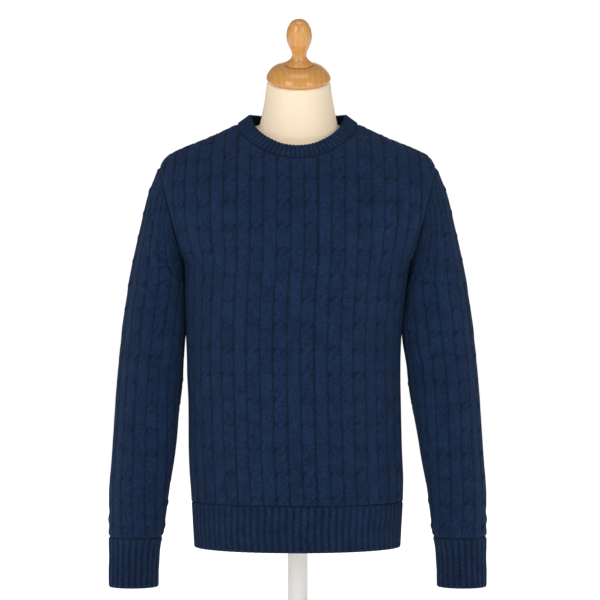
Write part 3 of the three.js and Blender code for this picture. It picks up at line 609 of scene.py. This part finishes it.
def cut_neck(cloth):
    high = [f for f in cloth.faces if f.calc_center_median().z > SHOULDER_TIP[1] * MM]
    bmesh.ops.triangulate(cloth, faces=high)
    reach = {v: 1 for v in cloth.verts}
    for v in cloth.verts:
        if v.co.z > NECK["lowest"] * MM:
            reach[v] = float(neck_reach(v.co.x / MM, v.co.y / MM)) - TUCKED
    moves = {}
    for e in cloth.edges:
        a, b = e.verts
        if reach[a] * reach[b] < 0:
            near, far = (a, b) if abs(reach[a]) < abs(reach[b]) else (b, a)
            share = reach[near] / (reach[near] - reach[far])
            if near not in moves or share < moves[near][0]:
                moves[near] = (share, near.co.lerp(far.co, share))
    for v, (_, spot) in moves.items():
        v.co = spot
        reach[v] = 0
    inside = [f for f in cloth.faces if all(reach[v] <= 0 for v in f.verts)]
    bmesh.ops.delete(cloth, geom=inside, context="FACES")


def cut_armholes(cloth):
    for side in (1, -1):
        upper = [f for f in cloth.faces if f.calc_center_median().z > ARMPIT[1] * MM]
        around = {v for f in upper for v in f.verts} | {e for f in upper for e in f.edges}
        bmesh.ops.bisect_plane(
            cloth, geom=list(around) + upper, dist=ARMHOLE_CUT, clear_outer=True,
            plane_co=(side * ARMPIT[0] * MM, 0, ARMPIT[1] * MM), plane_no=(side, 0, -LEAN),
        )


print("the neck is", 2 * NECK["half"], "mm wide")

# %% [markdown]
# ## Front and back
#
# Both panels are laid the same way, each with its own folds. The relief fades out where cloth
# presses on cloth: in a narrow band along each seam, and further between body and sleeve.

# %% Panels
BLANK_HALF = 292  # half the grid's width, enough for the widest section
PRESSED = (400, 470)  # heights between which sleeve and body begin to press together
FREE_AGAIN = (605, 640)  # and between which the body is clear of the sleeve again
BODY_SQUASH, SLEEVE_SQUASH = 23, 21  # how much wider the relief fades between those heights
NECK_RADIUS, FAR = 75, 99


def panel(name, face, folds):
    """A body panel. The face is -1 for the front and 1 for the back."""
    distances = both_ways(np.arange(0, BLANK_HALF, FINE))
    half_mm = np.linspace(WELT_TOP, BODY_TOP, 2 * (BODY_TOP - WELT_TOP) + 1)
    climbed = np.r_[0, np.cumsum(np.hypot(np.diff(half_mm), np.diff(body_front(half_mm))))]
    levels = np.interp(np.arange(0, climbed[-1], LEVEL), climbed, half_mm)
    levels = np.sort(np.r_[levels, ARMPIT[1], BODY_TOP])
    rows = [body_row(z, distances, face) for z in levels]
    points, normals, to_seam = (np.array(part) for part in zip(*rows))
    z = levels[:, None] + 0 * to_seam
    up = paths(points)
    up = up - np.array([np.interp(CROSS_LEVEL, levels, column) for column in up.T])
    totals = np.array([(np.abs(distances) * (row > 0)).max() for row in to_seam])[:, None]
    across = np.sign(distances) * np.minimum(np.abs(distances), totals) * -face
    drift = folded(across, up, ripple=DRIFT)
    height, stitch, painted_shading = cable_relief(across + drift, up, BODY_REPEAT)
    to_armhole = np.where(z > ARMPIT[1], armhole(z) - np.abs(points[..., 0]), FAR)
    to_neck = (neck_reach(points[..., 0], points[..., 1]) - 1) * NECK_RADIUS
    to_neck = np.where(z > SHOULDER_TIP[1], to_neck, FAR)
    edge = np.minimum.reduce([to_seam, np.maximum(to_armhole, 0), np.maximum(to_neck, 0)])
    fade = SEAM_FADE + BODY_SQUASH * eased(z, *PRESSED) * (1 - eased(z, *FREE_AGAIN))
    flat = eased(to_seam, 0, fade) * eased(to_armhole, 0, SEAM_FADE) * eased(to_neck, 0, 4)
    rise = height * flat + seam_turn(edge) + folded(across, up, folds) * eased(edge, 0, 30)
    points[..., 0] += body_lean(z)
    maps = stitch, up / ROW_HEIGHT, seam_shade(painted_shading * flat, edge)
    cloth = lay(points, normals, maps, rise)
    cut_armholes(cloth)
    cut_neck(cloth)
    loose = [v for v in cloth.verts if not v.link_faces]
    bmesh.ops.delete(cloth, geom=loose, context="VERTS")
    made = put(name, cloth, wool)
    print(name, len(made.data.polygons), "faces")
    return made


front_knit = panel("front_knit", -1, FRONT_FOLDS)
back_knit = panel("back_knit", 1, BACK_FOLDS)

# %% [markdown]
# ## The tube of a sleeve
#
# A sleeve is a flat panel sewn to a tube, which hangs from a slanting armhole. It could be swept
# along a line, but its first ring has to fit the armhole. So it is a tube of leaning rings. Each
# row of the table gives the outer and the inner point of a ring, half its depth and how far
# forward it hangs. The first ring has the outline of the armhole, and within a hand's breadth the
# rings turn to plain ovals. A cuff is a shorter tube of the same kind.

# %% Tubes
SLEEVE = np.array([
    # outer x, outer z, inner x, inner z, half depth, forward
    (221, 756, 183.3, 605, 63, 0), (239, 712, 184.2, 597, 62, 0), (249, 668, 184.4, 585, 61, 0),
    (258, 625, 183, 572, 60, 0), (266, 585, 181.5, 556, 59.5, -1), (272, 545, 179.5, 538, 59, -2),
    (279, 500, 178, 500, 58.5, -3), (286, 440, 179.5, 440, 57, -6), (291, 384, 185, 384, 55, -9),
    (295.5, 304, 196, 304, 51, -13), (300, 224, 210, 224, 47, -16),
    (300, 168.3, 216, 168.3, 43, -17),
])
CUFF = np.array([
    # the same columns
    (300, 168, 216, 168, 43, -17), (299.5, 157, 218.5, 157, 37, -17),
    (299.5, 140, 221, 140, 34.5, -17), (300, 88, 223, 88, 34, -18),
])
SETTLES = 70  # millimetres from the armhole to the first plain oval
SOFT_FOLDS = [
    # down, angle round from the outer line, slope, length, width, depth
    (120, 2.1, -34, 55, 13, 3.2), (168, 1.75, -26, 48, 11, 2.4),
    (292, 1.2, 16, 42, 12, 2.2), (330, 2.2, -14, 40, 12, 2.4),
]
ROUND = 55  # millimetres to a unit of angle round a sleeve
NO_TURN = 1e-6  # stands in for an angle of zero, which has no side
STEP_DOWN, STEP_ROUND, FROM_LINE = 2, 0.02, 0.03  # for measuring which way the cloth faces


def tube_of(rings):
    """Smooth lines through the columns of a table of rings, and the length of the tube."""
    steps = np.hypot(np.diff(rings[:, 0]), np.diff(rings[:, 1]))
    down = np.r_[0, np.cumsum(steps)]
    return [curve(down, column) for column in rings.T], down[-1]


def armhole_depth(z, face):
    depth = np.where(face < 0, body_front(z), body_back(z))
    return depth * np.sqrt(np.clip(1 - (armhole(z) / body_side(z)) ** 2, 0, 1))


def ring(tube, folds, from_armhole, angle, down):
    """Points of a ring. The angle runs from the outer line, below zero round the front."""
    (out_x, out_z, in_x, in_z, deep, forward), _ = tube
    face, turn = np.sign(angle), np.abs(angle)
    share = (1 - np.cos(turn)) / 2
    x = out_x(down) + (in_x(down) - out_x(down)) * share
    z = out_z(down) + (in_z(down) - out_z(down)) * share
    depth = deep(down) * np.sin(turn)
    for at, middle, slope, long, wide, hollow in folds:
        beside = down - at - slope * np.where(face < 0, 1, 0.7) * (turn - middle)
        fold = np.exp(-((beside / wide) ** 2) - ((turn - middle) * ROUND / long) ** 2)
        depth = depth - hollow * fold
    settled = float(eased(down, 0, SETTLES)) if from_armhole else 1
    if settled < 1:
        at_armhole = SHOULDER_TIP[1] + (ARMPIT[1] - SHOULDER_TIP[1]) * share
        depth = armhole_depth(at_armhole, face) * (1 - settled) + depth * settled
    return np.stack([x, forward(down) + face * np.maximum(depth, 0), z], -1)


def tube_rows(tube, levels, columns, folds=(), from_armhole=False):
    """Rows of points and normals round a tube, and how far each point is from the seam. columns
    gives the signed distances of a row from its two lengths, in front and behind."""
    rows = []
    turns = np.linspace(0, math.pi, 361)

    def at(angle, down):
        return ring(tube, folds, from_armhole, angle, down)

    for down in levels:
        front, behind = (
            paths(at(way * np.maximum(turns, NO_TURN), down)[:, None])[:, 0] for way in (-1, 1)
        )
        distance = columns(front[-1], behind[-1])
        before, after = np.interp(-distance, front, turns), np.interp(distance, behind, turns)
        angle = np.where(distance < 0, -before, after)
        angle = np.where(np.abs(angle) < NO_TURN, NO_TURN, angle)
        held = np.sign(angle) * np.clip(np.abs(angle), FROM_LINE, math.pi - FROM_LINE)
        above, below = max(down - STEP_DOWN, 0), min(down + STEP_DOWN, tube[1])
        along = at(held, below) - at(held, above)
        round_it = at(held + STEP_ROUND, down) - at(held - STEP_ROUND, down)
        to_seam = np.where(distance < 0, front[-1] + distance, behind[-1] - distance)
        rows.append((at(angle, down), unit(np.cross(along, round_it)), np.clip(to_seam, 0, None)))
    points, normals, to_seam = (np.array(part) for part in zip(*rows))
    middle = points.mean(axis=1, keepdims=True)
    outward = np.sign(((points - middle) * normals).sum(-1).mean())
    return points, normals * outward, to_seam


sleeve_tube, cuff_tube = tube_of(SLEEVE), tube_of(CUFF)
print("a sleeve is", round(sleeve_tube[1]), "mm long and a cuff", round(cuff_tube[1]))

# %% [markdown]
# ## The sleeves
#
# A sleeve is knitted from the cuff up. Counting its rows down from the armhole would be easier, but
# the armhole slants and the crosses would slant with it. So rows are counted up from the cuff along
# every column. Both sleeves come from one function. The right one is mirrored, with its cables
# still crossing the same way.

# %% Sleeves
SLEEVE_BLANK_HALF, SLEEVE_FINE = 226, FINE * 0.93


def sleeve(name, side, lean):
    """A sleeve. The side is 1 for the wearer's left and -1 for the right."""
    length = sleeve_tube[1]
    steps = np.arange(0, SLEEVE_BLANK_HALF, SLEEVE_FINE)
    distances = both_ways(steps)
    levels = np.r_[np.arange(0, length - 1, LEVEL), length]

    def fit(front, behind):
        return np.clip(distances, -front, behind)

    points, normals, to_seam = tube_rows(sleeve_tube, levels, fit, SOFT_FOLDS, True)
    down = levels[:, None] + 0 * to_seam
    climbed = paths(points)
    up = (climbed[-1] - climbed) - length
    across = paths(points.swapaxes(0, 1)).T
    outer_line = len(steps) - 1
    across = across - across[:, outer_line:outer_line + 1]
    drift = folded(across * side, up, ripple=DRIFT)
    height, stitch, painted_shading = cable_relief(across * side + drift, up, SLEEVE_REPEAT)
    ends = np.minimum(down, length - down)
    edge = np.minimum(ends, to_seam)
    fade = SEAM_FADE + SLEEVE_SQUASH * eased(points[..., 2], *PRESSED)
    flat = eased(to_seam, 0, fade) * eased(ends, 0, SEAM_FADE)
    calm = eased(ends, 0, 26) * eased(to_seam, 0, fade + 10)
    rise = height * flat + seam_turn(edge) + folded(across, -down, SLEEVE_FOLDS) * calm
    x = points[..., 0]
    inward = (x.max(axis=1, keepdims=True) - x) / np.ptp(x, axis=1, keepdims=True)
    points[..., 0] += side * lean(points[..., 2]) * inward**2
    maps = stitch, up / ROW_HEIGHT, seam_shade(painted_shading * flat, edge)
    cloth = lay(points * (side, 1, 1), normals * (side, 1, 1), maps, rise)
    made = put(name, cloth, wool)
    print(name, len(made.data.polygons), "faces")
    return made


sleeve_left_knit = sleeve("sleeve_left_knit", 1, left_lean)
sleeve_right_knit = sleeve("sleeve_right_knit", -1, right_lean)

# %% [markdown]
# ## Ribs
#
# Welt and cuffs are two by two rib: two plain stitches stand out, two purl ones sink between them.
# The relief could be an array of rods, but one formula shapes it in the same grid as the rest.
# They are single cloth, so a Solidify modifier gives them their thickness, and the last rows curl
# in a little at the edge.

# %% Welts and cuffs
WALL = 2.4
RIB = {"half": 0.62, "high": 1.3, "stitches": 4}
CURL = {"deep": 1.3, "wide": 3.4}
WELT_RIBS, WELT_RIB_POINTS, WELT_HALF = 20, 7, 226  # for half a welt, from the centre line
CUFF_RIBS, CUFF_RIB_POINTS = 24, 9
RIB_SHADE = {"dark": 0.7, "wide": 3}


def rib_relief(ribs):
    """Height, stitch map and painted shade in the purl recesses. Ribs are counted from the middle of
    one.
    """
    off = np.abs(np.mod(ribs + 0.5, 1) - 0.5) * 2
    height = np.sqrt(np.clip(1 - (off / RIB["half"]) ** 3, 0, 1)) * RIB["high"]
    # the last value is painted shade in the purl recesses
    return height, ribs * RIB["stitches"], np.clip(1 - height / 0.9, 0, 1) * 0.55


def rib_rise(height, from_seam, from_edge):
    curl = CURL["deep"] * (1 - eased(from_edge, 0, CURL["wide"])) ** 2
    return height * eased(from_seam, 0, 4) + seam_turn(from_seam) - curl


def thicken(thing):
    wall = thing.modifiers.new("cloth", "SOLIDIFY")
    wall.thickness, wall.offset, wall.use_even_offset = WALL * MM, -1, False
    return thing


def welt(name, face):
    shares = np.linspace(-1, 1, 2 * WELT_RIBS * WELT_RIB_POINTS + 1)
    levels = np.r_[np.linspace(HEM, HEM + 4, 5), np.linspace(HEM + 6, WELT_TOP, 34)]
    rows = [body_row(z, None, face, shares) for z in levels]
    points, normals, to_seam = (np.array(part) for part in zip(*rows))
    z = levels[:, None] + 0 * to_seam
    ribs = shares * WELT_RIBS * -face + 0 * z + 0.03 * np.sin(z / 9)
    height, stitch, painted_shading = rib_relief(ribs)
    settled = folded(shares * -face * WELT_HALF + 0 * z, z - WELT_FOLD_LEVEL, WELT_FOLDS, 0.3)
    rise = rib_rise(height, np.minimum(WELT_TOP - z, to_seam), z - HEM) + settled
    points[..., 0] += body_lean(z)
    maps = stitch, z / ROW_HEIGHT, seam_shade(painted_shading, WELT_TOP - z, **RIB_SHADE)
    return thicken(put(name, lay(points, normals, maps, rise), wool))


def cuff(name, side):
    shares = np.linspace(-1, 1, CUFF_RIBS * CUFF_RIB_POINTS + 1)
    end = cuff_tube[1]
    levels = np.r_[np.linspace(0, end - 6, 36), np.linspace(end - 4, end, 5)]

    def fit(front, behind):
        return np.where(shares < 0, shares * front, shares * behind)

    points, normals, _ = tube_rows(cuff_tube, levels, fit)
    down = levels[:, None] + 0 * points[..., 0]
    height, stitch, painted_shading = rib_relief(shares * CUFF_RIBS / 2 * side + 0 * down)
    rise = rib_rise(height, down, end - down) + 0.25 * np.sin(down / 7 + shares * 9)
    maps = stitch, -down / ROW_HEIGHT, seam_shade(painted_shading, down, **RIB_SHADE)
    cloth = lay(points * (side, 1, 1), normals * (side, 1, 1), maps, rise)
    return thicken(put(name, cloth, wool))


welt_front_rib, welt_back_rib = welt("welt_front_rib", -1), welt("welt_back_rib", 1)
cuff_left_rib, cuff_right_rib = cuff("cuff_left_rib", 1), cuff("cuff_right_rib", -1)
welt_faces, cuff_faces = (len(made.data.polygons) for made in (welt_front_rib, cuff_left_rib))
print("ribs of", welt_faces, "and", cuff_faces, "faces")

# %% [markdown]
# ## The neckband
#
# The band is knitted twice as deep as it looks, folded over and sewn down inside. A bent tube
# would miss its flat sides, so its outline is that of a folded strip: up the outside, round the
# top edge and down again. The strip is laid along the neck seam, which is where the body's surface
# meets an upright oval.

# %% Neckband
BAND = {"width": 24, "thick": 2.8, "lean": 0.14, "ribs": 72, "rib_points": 8, "relief": 0.85}
BAND_STEP = 2.1  # millimetres of cloth between two points of the strip's outline
BELL = np.exp(-np.linspace(-2, 2, 41) ** 2)


def neck_seam(angle):
    """The neck seam at an angle from the centre front: its point and normal."""
    forward = math.cos(angle)
    x = NECK["half"] * math.sin(angle)
    y = -forward * (NECK["front"] if forward > 0 else NECK["back"])
    depth, face = (body_front, -1) if y < 0 else (body_back, 1)
    low, high = float(SHOULDER_TIP[1]), float(BODY_TOP)
    while high - low > 0.001:
        z = (low + high) / 2
        if (x / body_side(z)) ** 2 + (y / depth(z)) ** 2 > 1:
            high = z
        else:
            low = z
    side = math.asin(min(1, abs(x) / float(body_side(low)))) * (1 if x >= 0 else -1)
    return torso(np.array(side), low, face)


def smoothed(vectors):
    """Vectors round a closed line, each evened out with its neighbours."""
    reach = len(BELL) // 2
    closed = [np.r_[c[-reach - 1:-1], c, c[1:reach + 1]] for c in vectors.T]
    return np.array([np.convolve(c, BELL / BELL.sum(), "valid") for c in closed]).T


def band_section():
    """Height on the band and depth behind its face, for each point of the strip's outline."""
    half = BAND["thick"] / 2
    top = BAND["width"] - half
    bend = np.linspace(0, math.pi, 9)[1:-1]
    return (
        [(up, 0.0) for up in np.linspace(-0.6, top, 12)]
        + [(top + half * math.sin(a), half * (math.cos(a) - 1)) for a in bend]
        + [(up, -2 * half) for up in np.linspace(top, 1.5, 8)]
    )


def neckband():
    angles = np.linspace(0, 2 * math.pi, BAND["ribs"] * BAND["rib_points"] + 1)
    points, normals = (np.array(part) for part in zip(*(neck_seam(a) for a in angles)))
    normals = unit(smoothed(normals))
    tangents = np.roll(points[:-1], -1, axis=0) - np.roll(points[:-1], 1, axis=0)
    tangents = smoothed(np.vstack([tangents, tangents[:1]]))
    upward = unit(np.cross(tangents, normals))
    upward *= np.sign(upward[:, 2:3])
    climb = upward * math.cos(BAND["lean"]) + normals * math.sin(BAND["lean"])
    out = normals * math.cos(BAND["lean"]) - upward * math.sin(BAND["lean"])
    height, stitch, painted_shading = rib_relief(angles / (2 * math.pi) * BAND["ribs"])
    rows, rises, facing = [], [], []
    for climbed, away in band_section():
        rows.append(points + climb * climbed + out * away)
        rises.append(rib_rise(height * BAND["relief"], climbed + 1.5, CURL["wide"]))
        over_top = math.sin(math.pi * min(1, -away / BAND["thick"]))
        side = -1 if away < -BAND["thick"] / 2 else 1
        facing.append(out * side * (1 - over_top) + climb * over_top)
    laid = np.arange(len(rows))[:, None] * BAND_STEP + 0 * angles
    maps = stitch * 0.5 + 0 * laid, laid / ROW_HEIGHT, seam_shade(painted_shading + 0 * laid, laid, 0.75, 3)
    return put("neckband_rib", lay(np.array(rows), unit(np.array(facing)), maps, np.array(rises)), wool)


neckband_rib = neckband()
print("neckband of", len(neckband_rib.data.polygons), "faces")

# %% [markdown]
# ## The jersey
#
# Smooth cream jersey is stretched over the form. Its stitches are too fine to be seen, and only a
# faint grain and a slow change of tone keep it from looking like plastic.

# %% Jersey
jersey, shader, place = finish("cream jersey", {
    "Roughness": 0.75, "Specular IOR Level": 0.25, "Sheen Weight": 0.12, "Sheen Roughness": 0.5,
})
grain, broad = place.noise(1400, 1), place.noise(9, 2)
tone = (grain * 0.4 + broad * 0.6).mix(linear(240, 219, 188), linear(250, 231, 203))
feed(shader, "Base Color", tone)
feed(shader, "Normal", grain.bump(0.2, 0.3 * MM))
print("jersey of", len(jersey.node_tree.nodes), "nodes")

# %% [markdown]
# ## The dress form
#
# The form is a limbless torso with a leaning neck. Trunk and neck are closed shapes that run into
# each other, and joining them corner by corner would be slow work. A Remesh modifier melts them
# into one skin instead, and a few rounds of smoothing give the hollow between neck and shoulder.
# The trunk follows the cloth from inside, with a gap that is widest where the sweater hangs free.

# %% Form
FORM_GAP = np.array([
    # height, gap between cloth and form
    (172, 13), (384, 15), (480, 13), (560, 8), (620, 4), (680, 1.5), (730, 0.4), (808, 0.4),
    (816, 1.5), (824, 8), (832, 15),
]).T
FORM_BOTTOM, ARM_PLATE, PLATE_FROM = 172, 5, ARMPIT[1] - 8
FORM_NECK = np.array([
    # down the axis, half width, half depth
    (0, 50, 52), (30, 53.5, 54), (58, 58.5, 55), (74, 61.5, 54), (88, 65, 52.5), (100, 70, 52),
    (122, 80, 50),
]).T
NECK_LEAN = math.radians(24)
RIM = Vector((1.6, -44, 893)) * MM
AROUND = np.linspace(0, 2 * math.pi, 161)[:-1]
VOXEL, SMOOTHINGS = 3.5, 12

form_gap = curve(FORM_GAP[0], FORM_GAP[1])
neck_half, neck_deep = (curve(FORM_NECK[0], column) for column in FORM_NECK[1:])


def skin(rings):
    """Joins rings of points to a closed shape, from a grid whose ends meet."""
    size, count = len(rings[0]), len(rings)
    shape = bmesh.new()
    bmesh.ops.create_grid(shape, x_segments=size, y_segments=count - 1, size=1)
    for v in list(shape.verts):
        column = round((v.co.x + 1) / 2 * size) % size
        row = round((v.co.y + 1) / 2 * (count - 1))
        v.co = rings[row][column]
    bmesh.ops.remove_doubles(shape, verts=shape.verts, dist=0.00001)
    rims = [e for e in shape.edges if e.is_boundary]
    bmesh.ops.holes_fill(shape, edges=rims, sides=0)
    bmesh.ops.recalc_face_normals(shape, faces=shape.faces)
    return shape


def trunk_ring(z):
    """A ring of the trunk, inside the cloth and cut flat at the armholes."""
    folded_back = np.arcsin(np.sin(AROUND))
    in_front = (np.cos(AROUND) > 0)[:, None]
    halves = zip(torso(folded_back, z, -1), torso(folded_back, z, 1))
    points, normals = (np.where(in_front, front, behind) for front, behind in halves)
    row = points - normals * (WALL + float(form_gap(z)))
    limit = armhole(row[:, 2]) - ARM_PLATE
    inside = np.clip(row[:, 0], -limit, limit)
    row[:, 0] = np.where(row[:, 2] > PLATE_FROM, inside, row[:, 0])
    return row * MM


def neck_ring(down):
    """A ring of the neck, this far down its leaning axis from the rim."""
    axis = Vector((0, -math.sin(NECK_LEAN), math.cos(NECK_LEAN)))
    forward = Vector((0, -math.cos(NECK_LEAN), -math.sin(NECK_LEAN)))
    wide, deep = float(neck_half(down)) * MM, float(neck_deep(down)) * MM
    middle = RIM - axis * float(down) * MM
    return [middle + forward * deep * math.cos(t) + Vector((wide * math.sin(t), 0, 0))
            for t in AROUND]


def form():
    levels = np.r_[np.linspace(FORM_BOTTOM, 740, 60), np.linspace(746, BODY_TOP, 24)]
    trunk = [[Vector(point) for point in trunk_ring(z)] for z in levels]
    neck = [neck_ring(down) for down in np.linspace(FORM_NECK[0][-1], 0, 40)]
    whole = bmesh.new()
    for rings in (trunk, neck):
        shape = skin(rings)
        made = bpy.data.meshes.new("part")
        shape.to_mesh(made)
        shape.free()
        whole.from_mesh(made)
        bpy.data.meshes.remove(made)
    bmesh.ops.recalc_face_normals(whole, faces=whole.faces)
    thing = put("form_skin", whole, jersey)
    melt = thing.modifiers.new("one skin", "REMESH")
    melt.mode, melt.voxel_size, melt.use_smooth_shade = "VOXEL", VOXEL * MM, True
    soften = thing.modifiers.new("soft", "SMOOTH")
    soften.factor, soften.iterations = 0.5, SMOOTHINGS
    return thing


form_skin = form()
print("form skin from", len(form_skin.data.polygons), "faces")

# %% [markdown]
# ## Beech
#
# Beech has long pale bands with short dark flecks. Plain stripes could stand for them, but the
# bands are the year rings of the plank, cut through by the round shape. So the material measures
# the distance from the heart of the tree, beside the piece, and bends it a little by noise.
# Lacquer is a clear coat over them.

# %% Beech
HEART = (0.075, 0.045)  # metres from the axis of the piece
YEARS = 120  # rings to a metre
GRAIN_STRETCH, FLECK_STRETCH = (1, 1, 0.12), (1, 1, 0.22)
FLECK_FROM, FLECK_SHARP = 0.62, 9

beech, shader, place = finish("lacquered beech", {
    "Coat Weight": 0.6, "Coat Roughness": 0.08, "Specular IOR Level": 0.4,
})
upright = place.node("ShaderNodeMapping", {"vector_type": "TEXTURE"},
                     {"Vector": place, "Location": RIM, "Rotation": (NECK_LEAN, 0, 0)})
off_x, off_y = upright.part(0) + HEART[0], upright.part(1) * 0.9 + HEART[1]
from_heart = (off_x * off_x + off_y * off_y).take("SQRT")
year = from_heart * YEARS + upright.part(2) * 5 + upright.noise(7, 2) * 3.4
band = abs(year.take("FRACT") * 2 - 1)
fine = upright.scaled(GRAIN_STRETCH).noise(420, 2)
fleck = ((upright.scaled(FLECK_STRETCH).noise(300, 0) - FLECK_FROM) * FLECK_SHARP).clamped()
wood = (band * 0.45 + fine * 0.4).mix(linear(200, 138, 66), linear(219, 161, 88))
feed(shader, "Base Color", (fleck * 0.2).mix(wood, linear(160, 100, 46)))
feed(shader, "Roughness", 0.3 + fine * 0.12)
print("beech of", len(beech.node_tree.nodes), "nodes")

# %% [markdown]
# ## Turned pieces
#
# Cap and finial were turned on a lathe. A Screw modifier would do, but a spin in the mesh leaves a
# finished shape that can be tilted with the neck at once. A profile of a few bends gets a smooth
# line through it first, so that the edges catch the light like rounded wood.

# %% Turning
CAP = [
    # radius, height over the rim
    (0, 0.3), (49, 0.3), (50.2, 0.7), (50.9, 3), (50.7, 5), (49.4, 8), (46.9, 12), (42.3, 17),
    (36.8, 20.6), (30, 23.2), (22.8, 24.6), (16, 24.7), (0, 24.7),
]
FINIAL = [
    # the same columns
    (0, 25), (20.9, 25), (22, 25.4), (22.3, 26.1), (22, 26.9), (21, 27.8), (17.9, 30),
    (15, 32.6), (12.6, 36), (11.5, 39.6), (11.8, 43), (12.9, 47), (16.3, 55), (19, 63),
    (20.2, 71), (19.3, 80.5), (15.4, 90.5), (12.7, 94.2), (9.2, 97), (4.6, 98.7), (0, 99.1),
]
FINIAL_ASIDE = Vector((0.9, 0, 0)) * MM
SPIN_STEPS = 96


def turned(name, profile, material, place, lean, count):
    """Spins a profile, drawn with so many points along it, and leans it forward at a place."""
    bends = np.array(profile, float)
    steps = np.r_[0, np.cumsum(np.linalg.norm(np.diff(bends, axis=0), axis=1))]
    along = np.linspace(0, steps[-1], count)
    radius, up = curve(steps, bends[:, 0])(along), curve(steps, bends[:, 1])(along)
    shape = bmesh.new()
    line = [shape.verts.new((max(r, 0) * MM, 0, z * MM)) for r, z in zip(radius, up)]
    edges = [shape.edges.new(pair) for pair in zip(line, line[1:])]
    bmesh.ops.spin(shape, geom=line + edges, cent=(0, 0, 0), axis=(0, 0, 1), angle=2 * math.pi,
                   steps=SPIN_STEPS, use_merge=True)
    bmesh.ops.remove_doubles(shape, verts=shape.verts, dist=0.00002)
    bmesh.ops.recalc_face_normals(shape, faces=shape.faces)
    tilt = Matrix.Rotation(lean, 3, "X")
    bmesh.ops.rotate(shape, verts=shape.verts, cent=(0, 0, 0), matrix=tilt)
    bmesh.ops.translate(shape, verts=shape.verts, vec=place)
    return put(name, shape, material)


cap_wood = turned("cap_wood", CAP, beech, RIM, NECK_LEAN, 90)
finial_wood = turned("finial_wood", FINIAL, beech, RIM + FINIAL_ASIDE, NECK_LEAN, 150)
print("wood of", len(cap_wood.data.polygons) + len(finial_wood.data.polygons), "faces")

# %% [markdown]
# ## The stand
#
# A steel pole and a flat steel disc carry the form, both sprayed white. Both are round, so the
# lathe makes them too. The spray leaves a very fine orange peel, which only shows in the gloss.

# %% Stand
POLE = [
    # radius, height
    (0, 8.3), (16, 8.3), (16, 60), (16, 120), (16, 171.7), (0, 171.7),
]
DISC = [
    # radius, height
    (0, 0), (149, 0), (150, 1), (150, 5.5), (149.3, 7.2), (147.5, 8), (100, 8), (0, 8),
]

paint, shader, place = finish("white paint", {
    "Base Color": linear(248, 248, 247), "Roughness": 0.45,
})
feed(shader, "Normal", place.noise(420, 1).bump(0.12, 0.2 * MM))
pole_paint = turned("pole_paint", POLE, paint, Vector(), 0, 120)
disc_paint = turned("disc_paint", DISC, paint, Vector(), 0, 220)
print("stand of", len(pole_paint.data.polygons) + len(disc_paint.data.polygons), "faces")

# %% [markdown]
# ## Tie the pieces to the solid model
#
# Every piece moves with the one body of the model and stands for its solid, which is hidden. The
# table also gives each piece's slot, and for each cloth piece how large it was before it was worn:
# the size of the knitted panel laid flat, and how it is held. The neckband and the cuffs go all the
# way round, and the neckband is counted with both its halves.

# %% Tie
PIECES = [
    # piece, node, slot, and for cloth its flat width and length, its area and how it is held
    (front_knit, "front", "navy_wool", (0.50, 0.66), 0.268, "hung"),
    (back_knit, "back", "navy_wool", (0.50, 0.67), 0.280, "hung"),
    (sleeve_left_knit, "sleeve_left", "navy_wool", (0.42, 0.60), 0.175, "hung"),
    (sleeve_right_knit, "sleeve_right", "navy_wool", (0.42, 0.60), 0.175, "hung"),
    (neckband_rib, "neckband", "navy_wool", (0.53, 0.05), None, "folded"),
    (welt_front_rib, "welt_front", "navy_wool", (0.45, 0.074), None, "hung"),
    (welt_back_rib, "welt_back", "navy_wool", (0.44, 0.074), None, "hung"),
    (cuff_left_rib, "cuff_left", "navy_wool", (0.25, 0.081), None, "hung"),
    (cuff_right_rib, "cuff_right", "navy_wool", (0.25, 0.081), None, "hung"),
    (form_skin, "form_body", "cream_jersey"),
    (cap_wood, "neck_cap", "beech"),
    (finial_wood, "finial", "beech"),
    (pole_paint, "pole", "white_paint"),
    (disc_paint, "base", "white_paint"),
]
for piece, node, slot, *cloth in PIECES:
    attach(piece, "root")
    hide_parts(node)
print(len(PIECES), "pieces tied")

# %% [markdown]
# ## Finish
#
# The dressed sweater should fill the same box as the solid model, within a few millimetres.

# %% Finish
def plain(box):
    return [[float(number) for number in corner] for corner in box]
